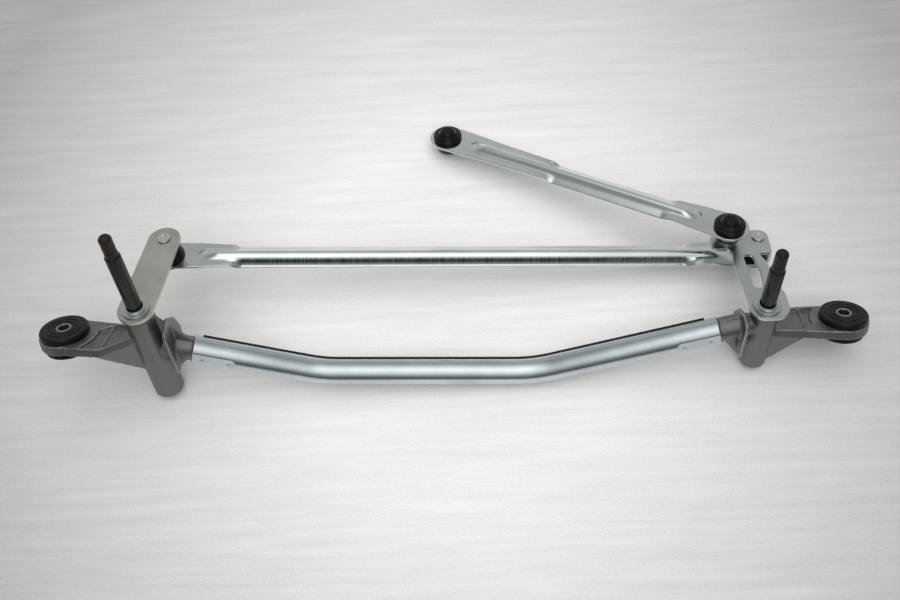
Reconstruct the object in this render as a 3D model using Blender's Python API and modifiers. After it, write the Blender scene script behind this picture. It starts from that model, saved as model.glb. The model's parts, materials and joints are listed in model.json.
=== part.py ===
"""Wiper linkage: two die-cast pivot housings on a bent tube, two cranks and two pressed link rods.

The model is laid out in its drawing frame: X runs from the left pivot to the right one, Z runs
along both pivots towards the wiper arms, Y runs back towards the link rods, and the origin is on
the left pivot at the top face of the left lever. An empty then lays the whole linkage on the
ground, on its two sleeve feet and the free socket of the short link. Lengths are in metres.
"""
import math

import bmesh
import bpy
from mathutils import Matrix, Vector

# Gap kept between solids that touch or seat in each other
SEAT_GAP = 0.0003
ROUND_STEPS = 20
SMALL_STEPS = 14

# Pivots and cranks
PIVOT_SPACING = 0.501
RIGHT_PIVOT_DROP = 0.0344
CRANK_LENGTH = 0.0767
CRANK_REST_ANGLE = math.radians(7.4)
LEVER_THICKNESS = 0.0035
LEVER_NEAR_RADIUS = 0.0146
LEVER_FAR_RADIUS = 0.0136
DRIVE_STUD_OFFSET = Vector((-0.0178, 0.0730))
LEVER_HUB_LEFT = 0.0140
LEVER_HUB_RIGHT = 0.0176
LEVER_HUB_FRONT = 0.0138
LEVER_BAND_LEFT = 0.0168
LEVER_BAND_RIGHT = 0.0114
LEVER_PAD_REACH = 0.0086
DRIVE_PAD_REACH = 0.0131
LEVER_WINDOW_START = 0.0195
LEVER_WINDOW_SETBACK = 0.0160
LEVER_WINDOW_WIDTH = 0.0090

# Spindles
SPINDLE_RADIUS = 0.0062
SPINDLE_TIP_RADIUS = 0.0051
SPINDLE_TIP_LENGTH = 0.0190
SPINDLE_SHOULDER = 0.0016
LEFT_SPINDLE_RISE = 0.0807
RIGHT_SPINDLE_RISE = 0.0623
SPINDLE_FOOT_RECESS = 0.0012
CIRCLIP_THICKNESS = 0.0012
CIRCLIP_DEPTH = 0.0009
CIRCLIP_WIDTH = 0.0022
LEVER_RING_RADIUS = 0.0112
LEVER_RING_HEIGHT = 0.0018
LEVER_RING_NECK_RADIUS = 0.0084
LEVER_RING_NECK_HEIGHT = 0.0034

# Bearings in the sleeves
BUSH_WALL = 0.0020
BUSH_LENGTH = 0.0180
WASHER_THICKNESS = 0.0010
O_RING_SECTION_RADIUS = 0.00080
FOOT_BORE_RADIUS = 0.0092
FOOT_BORE_DEPTH = 0.0070

# Die-cast housings
LEFT_SLEEVE_RADIUS = 0.0125
RIGHT_SLEEVE_RADIUS = 0.0112
LEFT_SLEEVE_FOOT = 0.1035
RIGHT_SLEEVE_FOOT = 0.0695
ARM_LEAN = math.radians(17.2)
ARM_DROP = 0.0270
ARM_THICKNESS = 0.0078
ARM_RIM_WIDTH = 0.0024
ARM_RECESS_DEPTH = 0.0030
ARM_RIB_THICKNESS = 0.0014
EYE_RADIUS = 0.0210
EYE_RIM_WIDTH = 0.0052
LEFT_EYE = Vector((-0.0652, 0.0010))
RIGHT_EYE = Vector((0.0691, 0.0063))
SPIGOT_RADIUS = 0.0102
SPIGOT_PLUG_DEPTH = 0.0300
SPIGOT_NECK_RADIUS = 0.0078
FIN_THICKNESS = 0.0026
LEFT_FIN_REACH = 0.0200
RIGHT_FIN_REACH = 0.0178
WEB_THICKNESS = 0.0040

# Frame tube
TUBE_RADIUS = 0.0110
TUBE_WALL = 0.0015
TUBE_BEND_RADIUS = 0.110
TUBE_LEVEL = -0.0530
TUBE_PLANE_LEAN = 0.143
TUBE_LEFT_END = Vector((0.0328, -0.0531))
TUBE_LEFT_BEND = Vector((0.1360, -0.0870))
TUBE_RIGHT_BEND = Vector((0.3139, -0.0989))
TUBE_RIGHT_END = Vector((0.4663, -0.0614))
CRIMP_LENGTH = 0.0360
CRIMP_DEPTH = 0.0011
CRIMP_WIDTH = 0.0100
STRIP_WIDTH = 0.0050
STRIP_THICKNESS = 0.0012
STRIP_END_SETBACK = 0.0060

# Rubber grommets and their steel sleeves
GROMMET_RADIUS = 0.0197
GROMMET_WAIST_RADIUS = 0.0130
GROMMET_LOWER_RADIUS = 0.0183
GROMMET_FLANGE = 0.0052
GROMMET_CROWN_RADIUS = 0.0140
GROMMET_CROWN_HEIGHT = 0.0008
SPACER_RADIUS = 0.0064
SPACER_BORE_RADIUS = 0.0043
SPACER_PROUD = 0.0002
SPACER_SUNK = 0.0005

# Ball joints
BALL_RADIUS = 0.0065
BALL_REACH = 0.0133
STUD_NECK_RADIUS = 0.0038
STUD_COLLAR_RADIUS = 0.0062
STUD_COLLAR_HEIGHT = 0.0014
RIVET_RADIUS = 0.0055
RIVET_HEIGHT = 0.0014
SOCKET_CLEARANCE = 0.0004
SOCKET_RADIUS = 0.0128
SOCKET_FOOT_RADIUS = 0.0098
SOCKET_PLUG_RADIUS = 0.0092
SOCKET_MOUTH_RADIUS = 0.0058
SOCKET_LIP = 0.0080
CAP_RADIUS = 0.0130
CAP_STEP_RADIUS = 0.0112
CAP_DOME_RADIUS = 0.0074
CAP_HEIGHT = 0.0086

# Pressed link rods
ROD_SHEET = 0.0020
LONG_ROD_PAD_RADIUS = 0.0148
SHORT_LINK_PAD_RADIUS = 0.0162
ROD_PAD_REACH = 0.0025
# Runs across half a strip: width, slope in the round bead and slope in the folded wing, in degrees
ROD_RUNS = (
    (0.0013, 10.0, 0.0), (0.0022, 30.0, 0.0), (0.0018, 40.0, 3.0), (0.0020, 17.0, 14.0),
    (0.0060, 0.0, 25.5),
)
ROD_STRIP_HALF_WIDTH = sum(run[0] for run in ROD_RUNS)
LONG_ROD_PAD_LENGTH = 0.051
DRIVE_PAD_LENGTH = 0.046
FREE_PAD_LENGTH = 0.101
ROD_FOLD_LENGTH = 0.014
ROD_RIDGE_START = 0.026
ROD_RIDGE_GROWTH = 0.016
SHORT_LINK_END = Vector((-0.2511, 0.2073))

ZINC = ("zinc_plate", (0.66, 0.69, 0.69), 0.34, 0.9)
TUBE_ZINC = ("tube_zinc", (0.60, 0.63, 0.64), 0.30, 0.9)
CAST = ("cast_aluminium", (0.47, 0.46, 0.45), 0.50, 0.8)
BLACK_STEEL = ("black_steel", (0.035, 0.030, 0.028), 0.38, 0.6)
STEEL = ("bright_steel", (0.72, 0.73, 0.74), 0.25, 1.0)
RUBBER = ("black_rubber", (0.030, 0.030, 0.032), 0.62, 0.0)
NYLON = ("black_nylon", (0.022, 0.022, 0.024), 0.35, 0.0)
BRONZE = ("sintered_bronze", (0.52, 0.36, 0.20), 0.45, 0.9)


def clear_scene():
    """Remove every object that the file opened with."""
    for obj in list(bpy.data.objects):
        bpy.data.objects.remove(obj, do_unlink=True)


def new_collection(name):
    """Return a new collection linked to the scene."""
    group = bpy.data.collections.new(name)
    bpy.context.scene.collection.children.link(group)
    return group


clear_scene()
PARTS = new_collection("wiper_linkage")
CUTTERS = new_collection("cutters")


def finish_material(finish):
    """Return the Principled material of one finish, made on first use."""
    name, colour, roughness, metallic = finish
    material = bpy.data.materials.get(name)
    if material is None:
        material = bpy.data.materials.new(name)
        material.use_nodes = True
        shader = material.node_tree.nodes["Principled BSDF"]
        shader.inputs["Base Color"].default_value = (*colour, 1.0)
        shader.inputs["Roughness"].default_value = roughness
        shader.inputs["Metallic"].default_value = metallic
    return material


def add_object(name, mesh, finish, parent, place=Matrix()):
    """Link a mesh as a part of the linkage, or as a cutter when it has no finish."""
    obj = bpy.data.objects.new(name, mesh)
    obj.parent = parent
    obj.matrix_local = place
    if finish is None:
        CUTTERS.objects.link(obj)
        obj.hide_render = True
        obj.display_type = "WIRE"
    else:
        PARTS.objects.link(obj)
        mesh.materials.append(finish_material(finish))
    return obj


def add_empty(name, parent, place=Matrix()):
    """Add an empty that carries the pieces of one body."""
    empty = bpy.data.objects.new(name, None)
    PARTS.objects.link(empty)
    empty.parent = parent
    empty.matrix_local = place
    return empty


def shift(x, y, z):
    """Return the matrix of a plain move."""
    return Matrix.Translation((x, y, z))


def turned(name, profile, finish, parent, place=Matrix(), closed=False, steps=ROUND_STEPS):
    """Turn a profile of (radius, height) points about Z with a Screw modifier."""
    mesh = bpy.data.meshes.new(name)
    points = [(radius, 0.0, height) for radius, height in profile]
    edges = [(i, i + 1) for i in range(len(points) - 1)]
    if closed:
        edges.append((len(points) - 1, 0))
    mesh.from_pydata(points, edges, [])
    obj = add_object(name, mesh, finish, parent, place)
    screw = obj.modifiers.new("turn", "SCREW")
    screw.axis = "Z"
    screw.angle = math.tau
    screw.steps = steps
    screw.render_steps = steps
    screw.use_merge_vertices = True
    screw.merge_threshold = 0.00001
    screw.use_smooth_shade = True
    return obj


def ring(name, inner, outer, low, high, finish, parent, place=Matrix()):
    """Turn a plain ring between two radii and two heights."""
    profile = [(outer, high), (outer, low), (inner, low), (inner, high)]
    return turned(name, profile, finish, parent, place, closed=True, steps=SMALL_STEPS)


def rod_cutter(name, radius, low, high, parent, place=Matrix()):
    """Turn a solid cylinder between two heights, to join to a part or to cut it."""
    profile = [(0.0, high), (radius, high), (radius, low), (0.0, low)]
    return turned(name, profile, None, parent, place)


def arc(centre, radius, start, end, steps):
    """Return points on an arc, counted from start to end in radians."""
    return [
        centre + radius * Vector((math.cos(start + (end - start) * i / steps),
                                  math.sin(start + (end - start) * i / steps)))
        for i in range(steps + 1)
    ]


def circle_loop(centre, radius, steps=SMALL_STEPS):
    """Return the points of a full circle."""
    return arc(centre, radius, 0.0, math.tau, steps)[:-1]


def rounded_loop(corners, steps=6):
    """Round each (point, radius) corner of a closed outline; a corner of no radius stays sharp."""
    points = []
    count = len(corners)
    for i, (corner, radius) in enumerate(corners):
        if radius == 0.0:
            points.append(corner.copy())
            continue
        before = (corners[i - 1][0] - corner).normalized()
        after = (corners[(i + 1) % count][0] - corner).normalized()
        half = before.angle(after) / 2.0
        reach = radius / math.tan(half)
        centre = corner + (before + after).normalized() * radius / math.sin(half)
        first = corner + before * reach - centre
        last = corner + after * reach - centre
        turn = first.angle_signed(last)
        for k in range(steps + 1):
            spin = Matrix.Rotation(-turn * k / steps, 2)
            points.append(centre + spin @ first)
    return points


def hull_loop(centre_a, radius_a, centre_b, radius_b, steps=18):
    """Return the outline of two discs and their outer tangents."""
    across = centre_b - centre_a
    heading = math.atan2(across.y, across.x)
    opening = math.acos((radius_a - radius_b) / across.length)
    far = arc(centre_b, radius_b, heading - opening, heading + opening, steps)
    near = arc(centre_a, radius_a, heading + opening, heading - opening + math.tau, steps)
    return far + near


def curve_to_mesh(obj, weld=0.00001):
    """Swap a curve object for a welded mesh object of the same name and place."""
    depsgraph = bpy.context.evaluated_depsgraph_get()
    mesh = bpy.data.meshes.new_from_object(obj.evaluated_get(depsgraph))
    shape = bmesh.new()
    shape.from_mesh(mesh)
    bmesh.ops.remove_doubles(shape, verts=shape.verts, dist=weld)
    shape.to_mesh(mesh)
    shape.free()
    bpy.data.objects.remove(obj, do_unlink=True)
    return mesh


def plate_mesh(name, loops, thickness):
    """Fill flat outlines, the later ones as holes, to a plate centred on Z = 0."""
    curve = bpy.data.curves.new(name, "CURVE")
    curve.dimensions = "2D"
    curve.fill_mode = "BOTH"
    curve.extrude = thickness / 2.0
    for loop in loops:
        spline = curve.splines.new("POLY")
        spline.points.add(len(loop) - 1)
        for point, place in zip(spline.points, loop):
            point.co = (place.x, place.y, 0.0, 1.0)
        spline.use_cyclic_u = True
    holder = bpy.data.objects.new(name, curve)
    CUTTERS.objects.link(holder)
    mesh = curve_to_mesh(holder)
    mesh.name = name
    return mesh


def plate(name, loops, low, high, finish, parent, place=Matrix()):
    """Add a flat plate between two heights."""
    mesh = plate_mesh(name, loops, high - low)
    return add_object(name, mesh, finish, parent, place @ shift(0.0, 0.0, (low + high) / 2.0))


def hull_mesh(name, points):
    """Return the convex hull of a few corner points."""
    mesh = bpy.data.meshes.new(name)
    shape = bmesh.new()
    for point in points:
        shape.verts.new(point)
    bmesh.ops.convex_hull(shape, input=shape.verts)
    loose = [vert for vert in shape.verts if not vert.link_faces]
    bmesh.ops.delete(shape, geom=loose, context="VERTS")
    bmesh.ops.recalc_face_normals(shape, faces=shape.faces)
    shape.to_mesh(mesh)
    shape.free()
    return mesh


def combine(obj, other, operation):
    """Join a cutter to a part, or cut it away, with an exact Boolean."""
    boolean = obj.modifiers.new(other.name, "BOOLEAN")
    boolean.operation = operation
    boolean.solver = "EXACT"
    boolean.object = other


def combine_all(obj, label, others, operation):
    """Join or cut away several pieces in one exact Boolean."""
    group = bpy.data.collections.new(f"{obj.name}_{label}")
    CUTTERS.children.link(group)
    for other in others:
        group.objects.link(other)
        CUTTERS.objects.unlink(other)
    boolean = obj.modifiers.new(label, "BOOLEAN")
    boolean.operation = operation
    boolean.solver = "EXACT"
    boolean.operand_type = "COLLECTION"
    boolean.collection = group
    obj.modifiers.new(f"{label} in triangles", "TRIANGULATE")


def flat(point, height):
    """Return a 3-D point from a plan point and a height."""
    return Vector((point.x, point.y, height))


# Places in the drawing frame
LEFT_PIVOT = Vector((0.0, 0.0, 0.0))
RIGHT_PIVOT = Vector((PIVOT_SPACING, 0.0, -RIGHT_PIVOT_DROP))
CRANK_ARM = CRANK_LENGTH * Vector((math.sin(CRANK_REST_ANGLE), math.cos(CRANK_REST_ANGLE)))
LEVER_UNDERSIDE = -LEVER_THICKNESS
ROD_BALL_LEVEL = LEVER_UNDERSIDE - BALL_REACH
LINK_BALL_LEVEL = BALL_REACH
SLEEVE_TOP = LEVER_UNDERSIDE - 2.0 * SEAT_GAP - WASHER_THICKNESS
BORE_RADIUS = SPINDLE_RADIUS + BUSH_WALL + SEAT_GAP
EYE_BORE_RADIUS = GROMMET_WAIST_RADIUS + SEAT_GAP


def tube_point(plan):
    """Lift a point of the tube's own plane, given as (x, z), into the drawing frame."""
    return Vector((plan.x, TUBE_PLANE_LEAN * (plan.y - TUBE_LEVEL), plan.y))


def resting_matrix():
    """Return the turn that lays both sleeve feet and the free socket level.

    Each of the three is a round rim, so its lowest point depends on the turn itself. A few
    rounds of taking the lowest rim points and the plane through them settle it.
    """
    rims = (
        (LEFT_PIVOT + Vector((0.0, 0.0, -LEFT_SLEEVE_FOOT)), LEFT_SLEEVE_RADIUS),
        (RIGHT_PIVOT + Vector((0.0, 0.0, -RIGHT_SLEEVE_FOOT)), RIGHT_SLEEVE_RADIUS),
        (RIGHT_PIVOT + flat(SHORT_LINK_END, LINK_BALL_LEVEL - SOCKET_LIP), SOCKET_FOOT_RADIUS),
    )
    up = Vector((0.0, 0.0, 1.0))
    for _ in range(12):
        slope = Vector((up.x, up.y, 0.0))
        downhill = -slope.normalized() if slope.length > 0.0001 else Vector((0.0, 1.0, 0.0))
        lowest = [centre + downhill * radius for centre, radius in rims]
        up = (lowest[1] - lowest[0]).cross(lowest[2] - lowest[0]).normalized()
    right = (Vector((1.0, 0.0, 0.0)) - up * up.x).normalized()
    back = up.cross(right)
    return Matrix((right, back, up)).to_4x4()


def settle(frame):
    """Move the whole linkage so that the middle of its underside box is the world origin."""
    bpy.context.view_layer.update()
    depsgraph = bpy.context.evaluated_depsgraph_get()
    low = Vector((1.0, 1.0, 1.0))
    high = -low
    for obj in PARTS.objects:
        if obj.type != "MESH":
            continue
        for vert in obj.evaluated_get(depsgraph).data.vertices:
            place = obj.matrix_world @ vert.co
            low = Vector(map(min, low, place))
            high = Vector(map(max, high, place))
    move = shift(-(low.x + high.x) / 2.0, -(low.y + high.y) / 2.0, -low.z)
    frame.matrix_local = move @ frame.matrix_local


def build_tube(frame):
    """Bend the frame tube, press its crimps and lay the black strip on it."""
    corners = [TUBE_LEFT_END, TUBE_LEFT_BEND, TUBE_RIGHT_BEND, TUBE_RIGHT_END]
    path = [corners[0]]
    for before, corner, after in zip(corners, corners[1:], corners[2:]):
        entry = (before - corner).normalized()
        leave = (after - corner).normalized()
        half = entry.angle(leave) / 2.0
        reach = TUBE_BEND_RADIUS / math.tan(half)
        centre = corner + (entry + leave).normalized() * TUBE_BEND_RADIUS / math.sin(half)
        first = corner + entry * reach - centre
        turn = first.angle_signed(corner + leave * reach - centre)
        path += [centre + Matrix.Rotation(-turn * k / 6, 2) @ first for k in range(7)]
    path.append(corners[-1])

    def swept(name, radius, points, sides):
        curve = bpy.data.curves.new(name, "CURVE")
        curve.dimensions = "3D"
        curve.bevel_depth = radius
        curve.bevel_resolution = sides
        curve.use_fill_caps = True
        spline = curve.splines.new("POLY")
        spline.points.add(len(points) - 1)
        for point, place in zip(spline.points, points):
            point.co = (*place, 1.0)
        holder = bpy.data.objects.new(name, curve)
        CUTTERS.objects.link(holder)
        return curve_to_mesh(holder)

    line = [tube_point(point) for point in path]
    tube = add_object("frame_tube", swept("frame_tube", TUBE_RADIUS, line, 6), TUBE_ZINC, frame)
    over = 0.004
    first = line[0] + (line[0] - line[1]).normalized() * over
    last = line[-1] + (line[-1] - line[-2]).normalized() * over
    inside = [first] + line[1:-1] + [last]
    bore = add_object("tube_bore", swept("tube_bore", TUBE_RADIUS - TUBE_WALL, inside, 5), None, frame)
    combine(tube, bore, "DIFFERENCE")
    for side, end, inner in (("left", line[0], line[1]), ("right", line[-1], line[-2])):
        press_crimp(tube, side, end, (inner - end).normalized(), frame)

    lift = TUBE_RADIUS + SEAT_GAP + STRIP_THICKNESS / 2.0
    strip_side = Vector((0.0, 0.86, 0.51)).normalized()
    strip_line = trimmed(line, STRIP_END_SETBACK)
    strip = loft_strip("tube_strip", strip_line, strip_side, lift)
    add_object("tube_strip", strip, RUBBER, frame)


def trimmed(line, setback):
    """Return a path with both of its ends drawn in by a setback."""
    first = line[0] + (line[1] - line[0]).normalized() * setback
    last = line[-1] + (line[-2] - line[-1]).normalized() * setback
    return [first] + line[1:-1] + [last]


def loft_strip(name, line, side, lift):
    """Loft the flat strip that lies on the tube, with a section curved to the tube's wall."""
    mesh = bpy.data.meshes.new(name)
    shape = bmesh.new()
    half_angle = STRIP_WIDTH / (2.0 * TUBE_RADIUS)
    rings = []
    for i, point in enumerate(line):
        before = line[max(i - 1, 0)]
        after = line[min(i + 1, len(line) - 1)]
        along = (after - before).normalized()
        out = (side - along * side.dot(along)).normalized()
        across = along.cross(out)
        section = []
        for radius in (lift - STRIP_THICKNESS / 2.0, lift + STRIP_THICKNESS / 2.0):
            turns = [-half_angle, 0.0, half_angle]
            if radius > lift:
                turns.reverse()
            for turn in turns:
                spot = point + out * (radius * math.cos(turn)) + across * (radius * math.sin(turn))
                section.append(shape.verts.new(spot))
        rings.append(section)
    for ring_a, ring_b in zip(rings, rings[1:]):
        for k in range(len(ring_a)):
            n = (k + 1) % len(ring_a)
            shape.faces.new((ring_a[k], ring_a[n], ring_b[n], ring_b[k]))
    shape.faces.new(rings[0])
    shape.faces.new(list(reversed(rings[-1])))
    bmesh.ops.recalc_face_normals(shape, faces=shape.faces)
    shape.to_mesh(mesh)
    shape.free()
    return mesh


def press_crimp(tube, side, end, inward, frame):
    """Press the flat that holds one end of the tube on its spigot."""
    out = Vector((0.0, -0.86, 0.51))
    out = (out - inward * out.dot(inward)).normalized()
    across = inward.cross(out)
    basis = Matrix((inward, across, out)).transposed().to_4x4()
    place = Matrix.Translation(end) @ basis
    half = CRIMP_WIDTH / 2.0
    low = TUBE_RADIUS - CRIMP_DEPTH
    high = TUBE_RADIUS + 0.002
    corners = [Vector((x, y, z)) for x in (-0.002, CRIMP_LENGTH) for y in (-half, half)
               for z in (low, high)]
    flat_cutter = add_object(f"{side}_crimp", hull_mesh(f"{side}_crimp", corners), None, frame,
                             place)
    combine(tube, flat_cutter, "DIFFERENCE")


def build_housing(side, pivot, frame):
    """Cast one housing: bearing sleeve, arm with its eye, collar, spigot, webs and ribs."""
    left = side == "left"
    sleeve_radius = LEFT_SLEEVE_RADIUS if left else RIGHT_SLEEVE_RADIUS
    foot = LEFT_SLEEVE_FOOT if left else RIGHT_SLEEVE_FOOT
    eye = LEFT_EYE if left else RIGHT_EYE
    place = Matrix.Translation(pivot)
    chamfer = 0.0010
    sleeve = [
        (0.0, SLEEVE_TOP), (sleeve_radius - chamfer, SLEEVE_TOP),
        (sleeve_radius, SLEEVE_TOP - chamfer), (sleeve_radius, -foot + chamfer / 2.0),
        (sleeve_radius - chamfer / 2.0, -foot), (0.0, -foot),
    ]
    body = turned(f"{side}_housing", sleeve, CAST, frame, place)

    arm_place = place @ shift(0.0, 0.0, -ARM_DROP) @ Matrix.Rotation(-ARM_LEAN, 4, "X")
    outline = arm_outline(left, eye)
    arm = plate(f"{side}_arm", [outline], -ARM_THICKNESS, 0.0, None, frame, arm_place)
    over_eye = arm_place @ shift(eye.x, eye.y, 0.0)
    eye_disc = rod_cutter(f"{side}_eye", EYE_RADIUS, -ARM_THICKNESS - 0.0004, 0.0004, frame,
                          over_eye)
    web = arm_web(side, left, sleeve_radius, frame, place, arm_place)
    added = spigot_pieces(side, left, pivot, sleeve_radius, frame)
    combine_all(body, "castings", [arm, eye_disc, web] + added, "UNION")
    recess = plate(f"{side}_recess", [recess_outline(left, eye)], -ARM_RECESS_DEPTH, 0.003, None,
                   frame, arm_place)
    combine(body, recess, "DIFFERENCE")
    combine(body, arm_rib(side, left, frame, arm_place), "UNION")
    eye_bore = rod_cutter(f"{side}_eye_bore", EYE_BORE_RADIUS, -0.02, 0.02, frame, over_eye)
    bore = rod_cutter(f"{side}_sleeve_bore", BORE_RADIUS, -foot - 0.01, 0.02, frame, place)
    foot_bore = rod_cutter(f"{side}_foot_bore", FOOT_BORE_RADIUS, -foot - 0.02,
                           -foot + FOOT_BORE_DEPTH, frame, place)
    combine_all(body, "bores", [eye_bore, bore, foot_bore], "DIFFERENCE")
    return body


def arm_outline(left, eye):
    """Return the plan outline of one arm, from its eye to the sleeve."""
    if left:
        sides = [
            (Vector((-0.0600, -0.0205)), 0.003), (Vector((-0.0306, -0.0255)), 0.012),
            (Vector((-0.0060, -0.0080)), 0.0), (Vector((0.0, 0.0)), 0.0),
            (Vector((-0.0040, 0.0088)), 0.0), (Vector((-0.0266, 0.0135)), 0.0),
            (Vector((-0.0600, 0.0225)), 0.003),
        ]
    else:
        sides = [
            (Vector((0.0660, 0.0270)), 0.003), (Vector((0.0300, 0.0275)), 0.012),
            (Vector((0.0040, 0.0085)), 0.0), (Vector((0.0, 0.0)), 0.0),
            (Vector((0.0060, -0.0050)), 0.0), (Vector((0.0300, -0.0085)), 0.0),
            (Vector((0.0640, -0.0140)), 0.003),
        ]
    return rounded_loop(sides + [(eye, 0.0)], 4)


def recess_outline(left, eye):
    """Return the outline of the shallow recess inside the arm's raised rim."""
    hollow = EYE_RADIUS + EYE_RIM_WIDTH
    rim = ARM_RIM_WIDTH
    if left:
        corners = [
            (Vector((-0.0475, -0.0232 + rim)), 0.002), (Vector((-0.0306, -0.0255 + rim)), 0.004),
            (Vector((-0.0150, -0.0075)), 0.002), (Vector((-0.0150, 0.0080)), 0.002),
            (Vector((-0.0266, 0.0135 - rim)), 0.0), (Vector((-0.0480, 0.0192 - rim)), 0.002),
        ]
    else:
        corners = [
            (Vector((0.0520, 0.0272 - rim)), 0.002), (Vector((0.0290, 0.0272 - rim)), 0.003),
            (Vector((0.0145, 0.0130)), 0.002), (Vector((0.0145, -0.0042)), 0.002),
            (Vector((0.0300, -0.0085 + rim)), 0.0), (Vector((0.0500, -0.0115 + rim)), 0.002),
        ]
    loop = rounded_loop(corners, 2)
    kept = [point for point in loop if (point - eye).length > hollow + 0.0002]
    last = kept[-1] - eye
    first = kept[0] - eye
    start = math.atan2(last.y, last.x)
    end = start - last.angle_signed(first)
    return kept + arc(eye, hollow, start, end, 8)[1:-1]


def arm_rib(side, left, frame, arm_place):
    """Add the thin rib that crosses the recess of one arm."""
    if left:
        start, end = Vector((-0.0312, -0.0235)), Vector((-0.0281, 0.0125))
    else:
        start, end = Vector((0.0385, 0.0265)), Vector((0.0359, -0.0085))
    run = (end - start).normalized()
    half = Vector((-run.y, run.x)) * ARM_RIB_THICKNESS / 2.0
    points = []
    for point in (start + half, start - half, end + half, end - half):
        points.append(flat(point, -ARM_THICKNESS / 2.0))
        points.append(flat(point, -ARM_RECESS_DEPTH * 0.35))
    return add_object(f"{side}_rib", hull_mesh(f"{side}_rib", points), None, frame, arm_place)


def arm_web(side, left, sleeve_radius, frame, place, arm_place):
    """Add the deep web that tapers from the arm down the side of the sleeve."""
    outward = -1.0 if left else 1.0
    reach = 0.0340 if left else 0.0330
    front, back = (-0.0250, 0.0090) if left else (-0.0085, 0.0230)
    web_foot = 0.0700 if left else 0.0655
    to_place = place.inverted() @ arm_place
    points = []
    for y in (front, back):
        for z in (-0.0036, -ARM_THICKNESS - 0.0006):
            points.append(to_place @ Vector((outward * reach, y, z)))
    half = sleeve_radius * 0.62
    for y in (-half, half):
        points.append(Vector((outward * sleeve_radius * 0.60, y, -ARM_DROP - 0.004)))
        points.append(Vector((outward * sleeve_radius * 0.60, y, -web_foot)))
    return add_object(f"{side}_web", hull_mesh(f"{side}_web", points), None, frame, place)


def spigot_pieces(side, left, pivot, sleeve_radius, frame):
    """Return the collar, the stepped spigot and the ribs between the sleeve and the tube."""
    if left:
        end, inner = tube_point(TUBE_LEFT_END), tube_point(TUBE_LEFT_BEND)
    else:
        end, inner = tube_point(TUBE_RIGHT_END), tube_point(TUBE_RIGHT_BEND)
    along = (inner - end).normalized()
    root = end + along * ((pivot.x - end.x) / along.x)
    turn = along.to_track_quat("Z", "Y").to_matrix().to_4x4()
    place = Matrix.Translation(root) @ turn
    shoulder = (end - root).length - SEAT_GAP
    plug = TUBE_RADIUS - TUBE_WALL - SEAT_GAP
    stub = [
        (0.0, shoulder + SPIGOT_PLUG_DEPTH), (plug - 0.001, shoulder + SPIGOT_PLUG_DEPTH),
        (plug, shoulder + SPIGOT_PLUG_DEPTH - 0.001), (plug, shoulder),
        (SPIGOT_RADIUS, shoulder), (SPIGOT_RADIUS, 0.0165), (SPIGOT_NECK_RADIUS, 0.0070),
        (0.0, 0.0070),
    ]
    spigot = turned(f"{side}_spigot", stub, None, frame, place)
    fin = arm_fin(side, left, pivot, frame)
    outward = 1.0 if left else -1.0
    half = WEB_THICKNESS / 2.0
    below = Vector((0.0, outward, 0.0)).cross(along).normalized()
    tube_face = end - along * 0.0012
    web_top = tube_face + below * SPIGOT_RADIUS * 0.5
    web_low = tube_face + below * SPIGOT_RADIUS * 0.99
    foot_at = 0.0800 if left else 0.0662
    lower = []
    for y in (-half, half):
        lower.append(Vector((web_top.x, web_top.y + y, web_top.z)))
        lower.append(Vector((web_low.x, web_low.y + y, web_low.z)))
        lower.append(pivot + Vector((outward * sleeve_radius * 0.5, y, -foot_at)))
        lower.append(pivot + Vector((outward * (sleeve_radius - 0.0005), y, -foot_at)))
        lower.append(root + along * 0.010 + Vector((0.0, y, -0.003)))
    gusset = add_object(f"{side}_gusset", hull_mesh(f"{side}_gusset", lower), None, frame)
    top = []
    rib_half = 0.0012
    for y in (-rib_half, rib_half):
        top.append(pivot + Vector((outward * sleeve_radius * 0.7, y, SLEEVE_TOP - 0.0025)))
        top.append(pivot + Vector((outward * (sleeve_radius - 0.0002), y, SLEEVE_TOP - 0.0030)))
        top.append(tube_face - below * (SPIGOT_RADIUS + 0.0012) + Vector((0.0, y, 0.0)))
        top.append(tube_face + Vector((0.0, y, 0.0)))
        top.append(root + along * 0.008 + Vector((0.0, y, 0.0)))
    rib = add_object(f"{side}_top_rib", hull_mesh(f"{side}_top_rib", top), None, frame)
    return [spigot, fin, gusset, rib]


def arm_fin(side, left, pivot, frame):
    """Add the arched fin that stands across the spigot, parallel with the pivot."""
    if left:
        corners = [
            (Vector((-0.0175, -0.0160)), 0.006), (Vector((0.0010, -0.0142)), 0.009),
            (Vector((0.0135, -0.0270)), 0.012), (Vector((0.0196, -0.0450)), 0.008),
            (Vector((0.0150, -0.0640)), 0.004), (Vector((-0.0178, -0.0660)), 0.004),
        ]
        reach = LEFT_FIN_REACH
    else:
        corners = [
            (Vector((-0.0180, -0.0062)), 0.006), (Vector((-0.0040, -0.0050)), 0.008),
            (Vector((0.0100, -0.0135)), 0.010), (Vector((0.0182, -0.0270)), 0.008),
            (Vector((0.0150, -0.0440)), 0.004), (Vector((-0.0185, -0.0460)), 0.004),
        ]
        reach = -RIGHT_FIN_REACH
    across = Matrix(((0.0, 0.0, 1.0), (1.0, 0.0, 0.0), (0.0, 1.0, 0.0))).to_4x4()
    half = FIN_THICKNESS / 2.0
    return plate(f"{side}_fin", [rounded_loop(corners, 4)], -half, half, None, frame,
                 Matrix.Translation(pivot) @ shift(reach, 0.0, 0.0) @ across)


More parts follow.
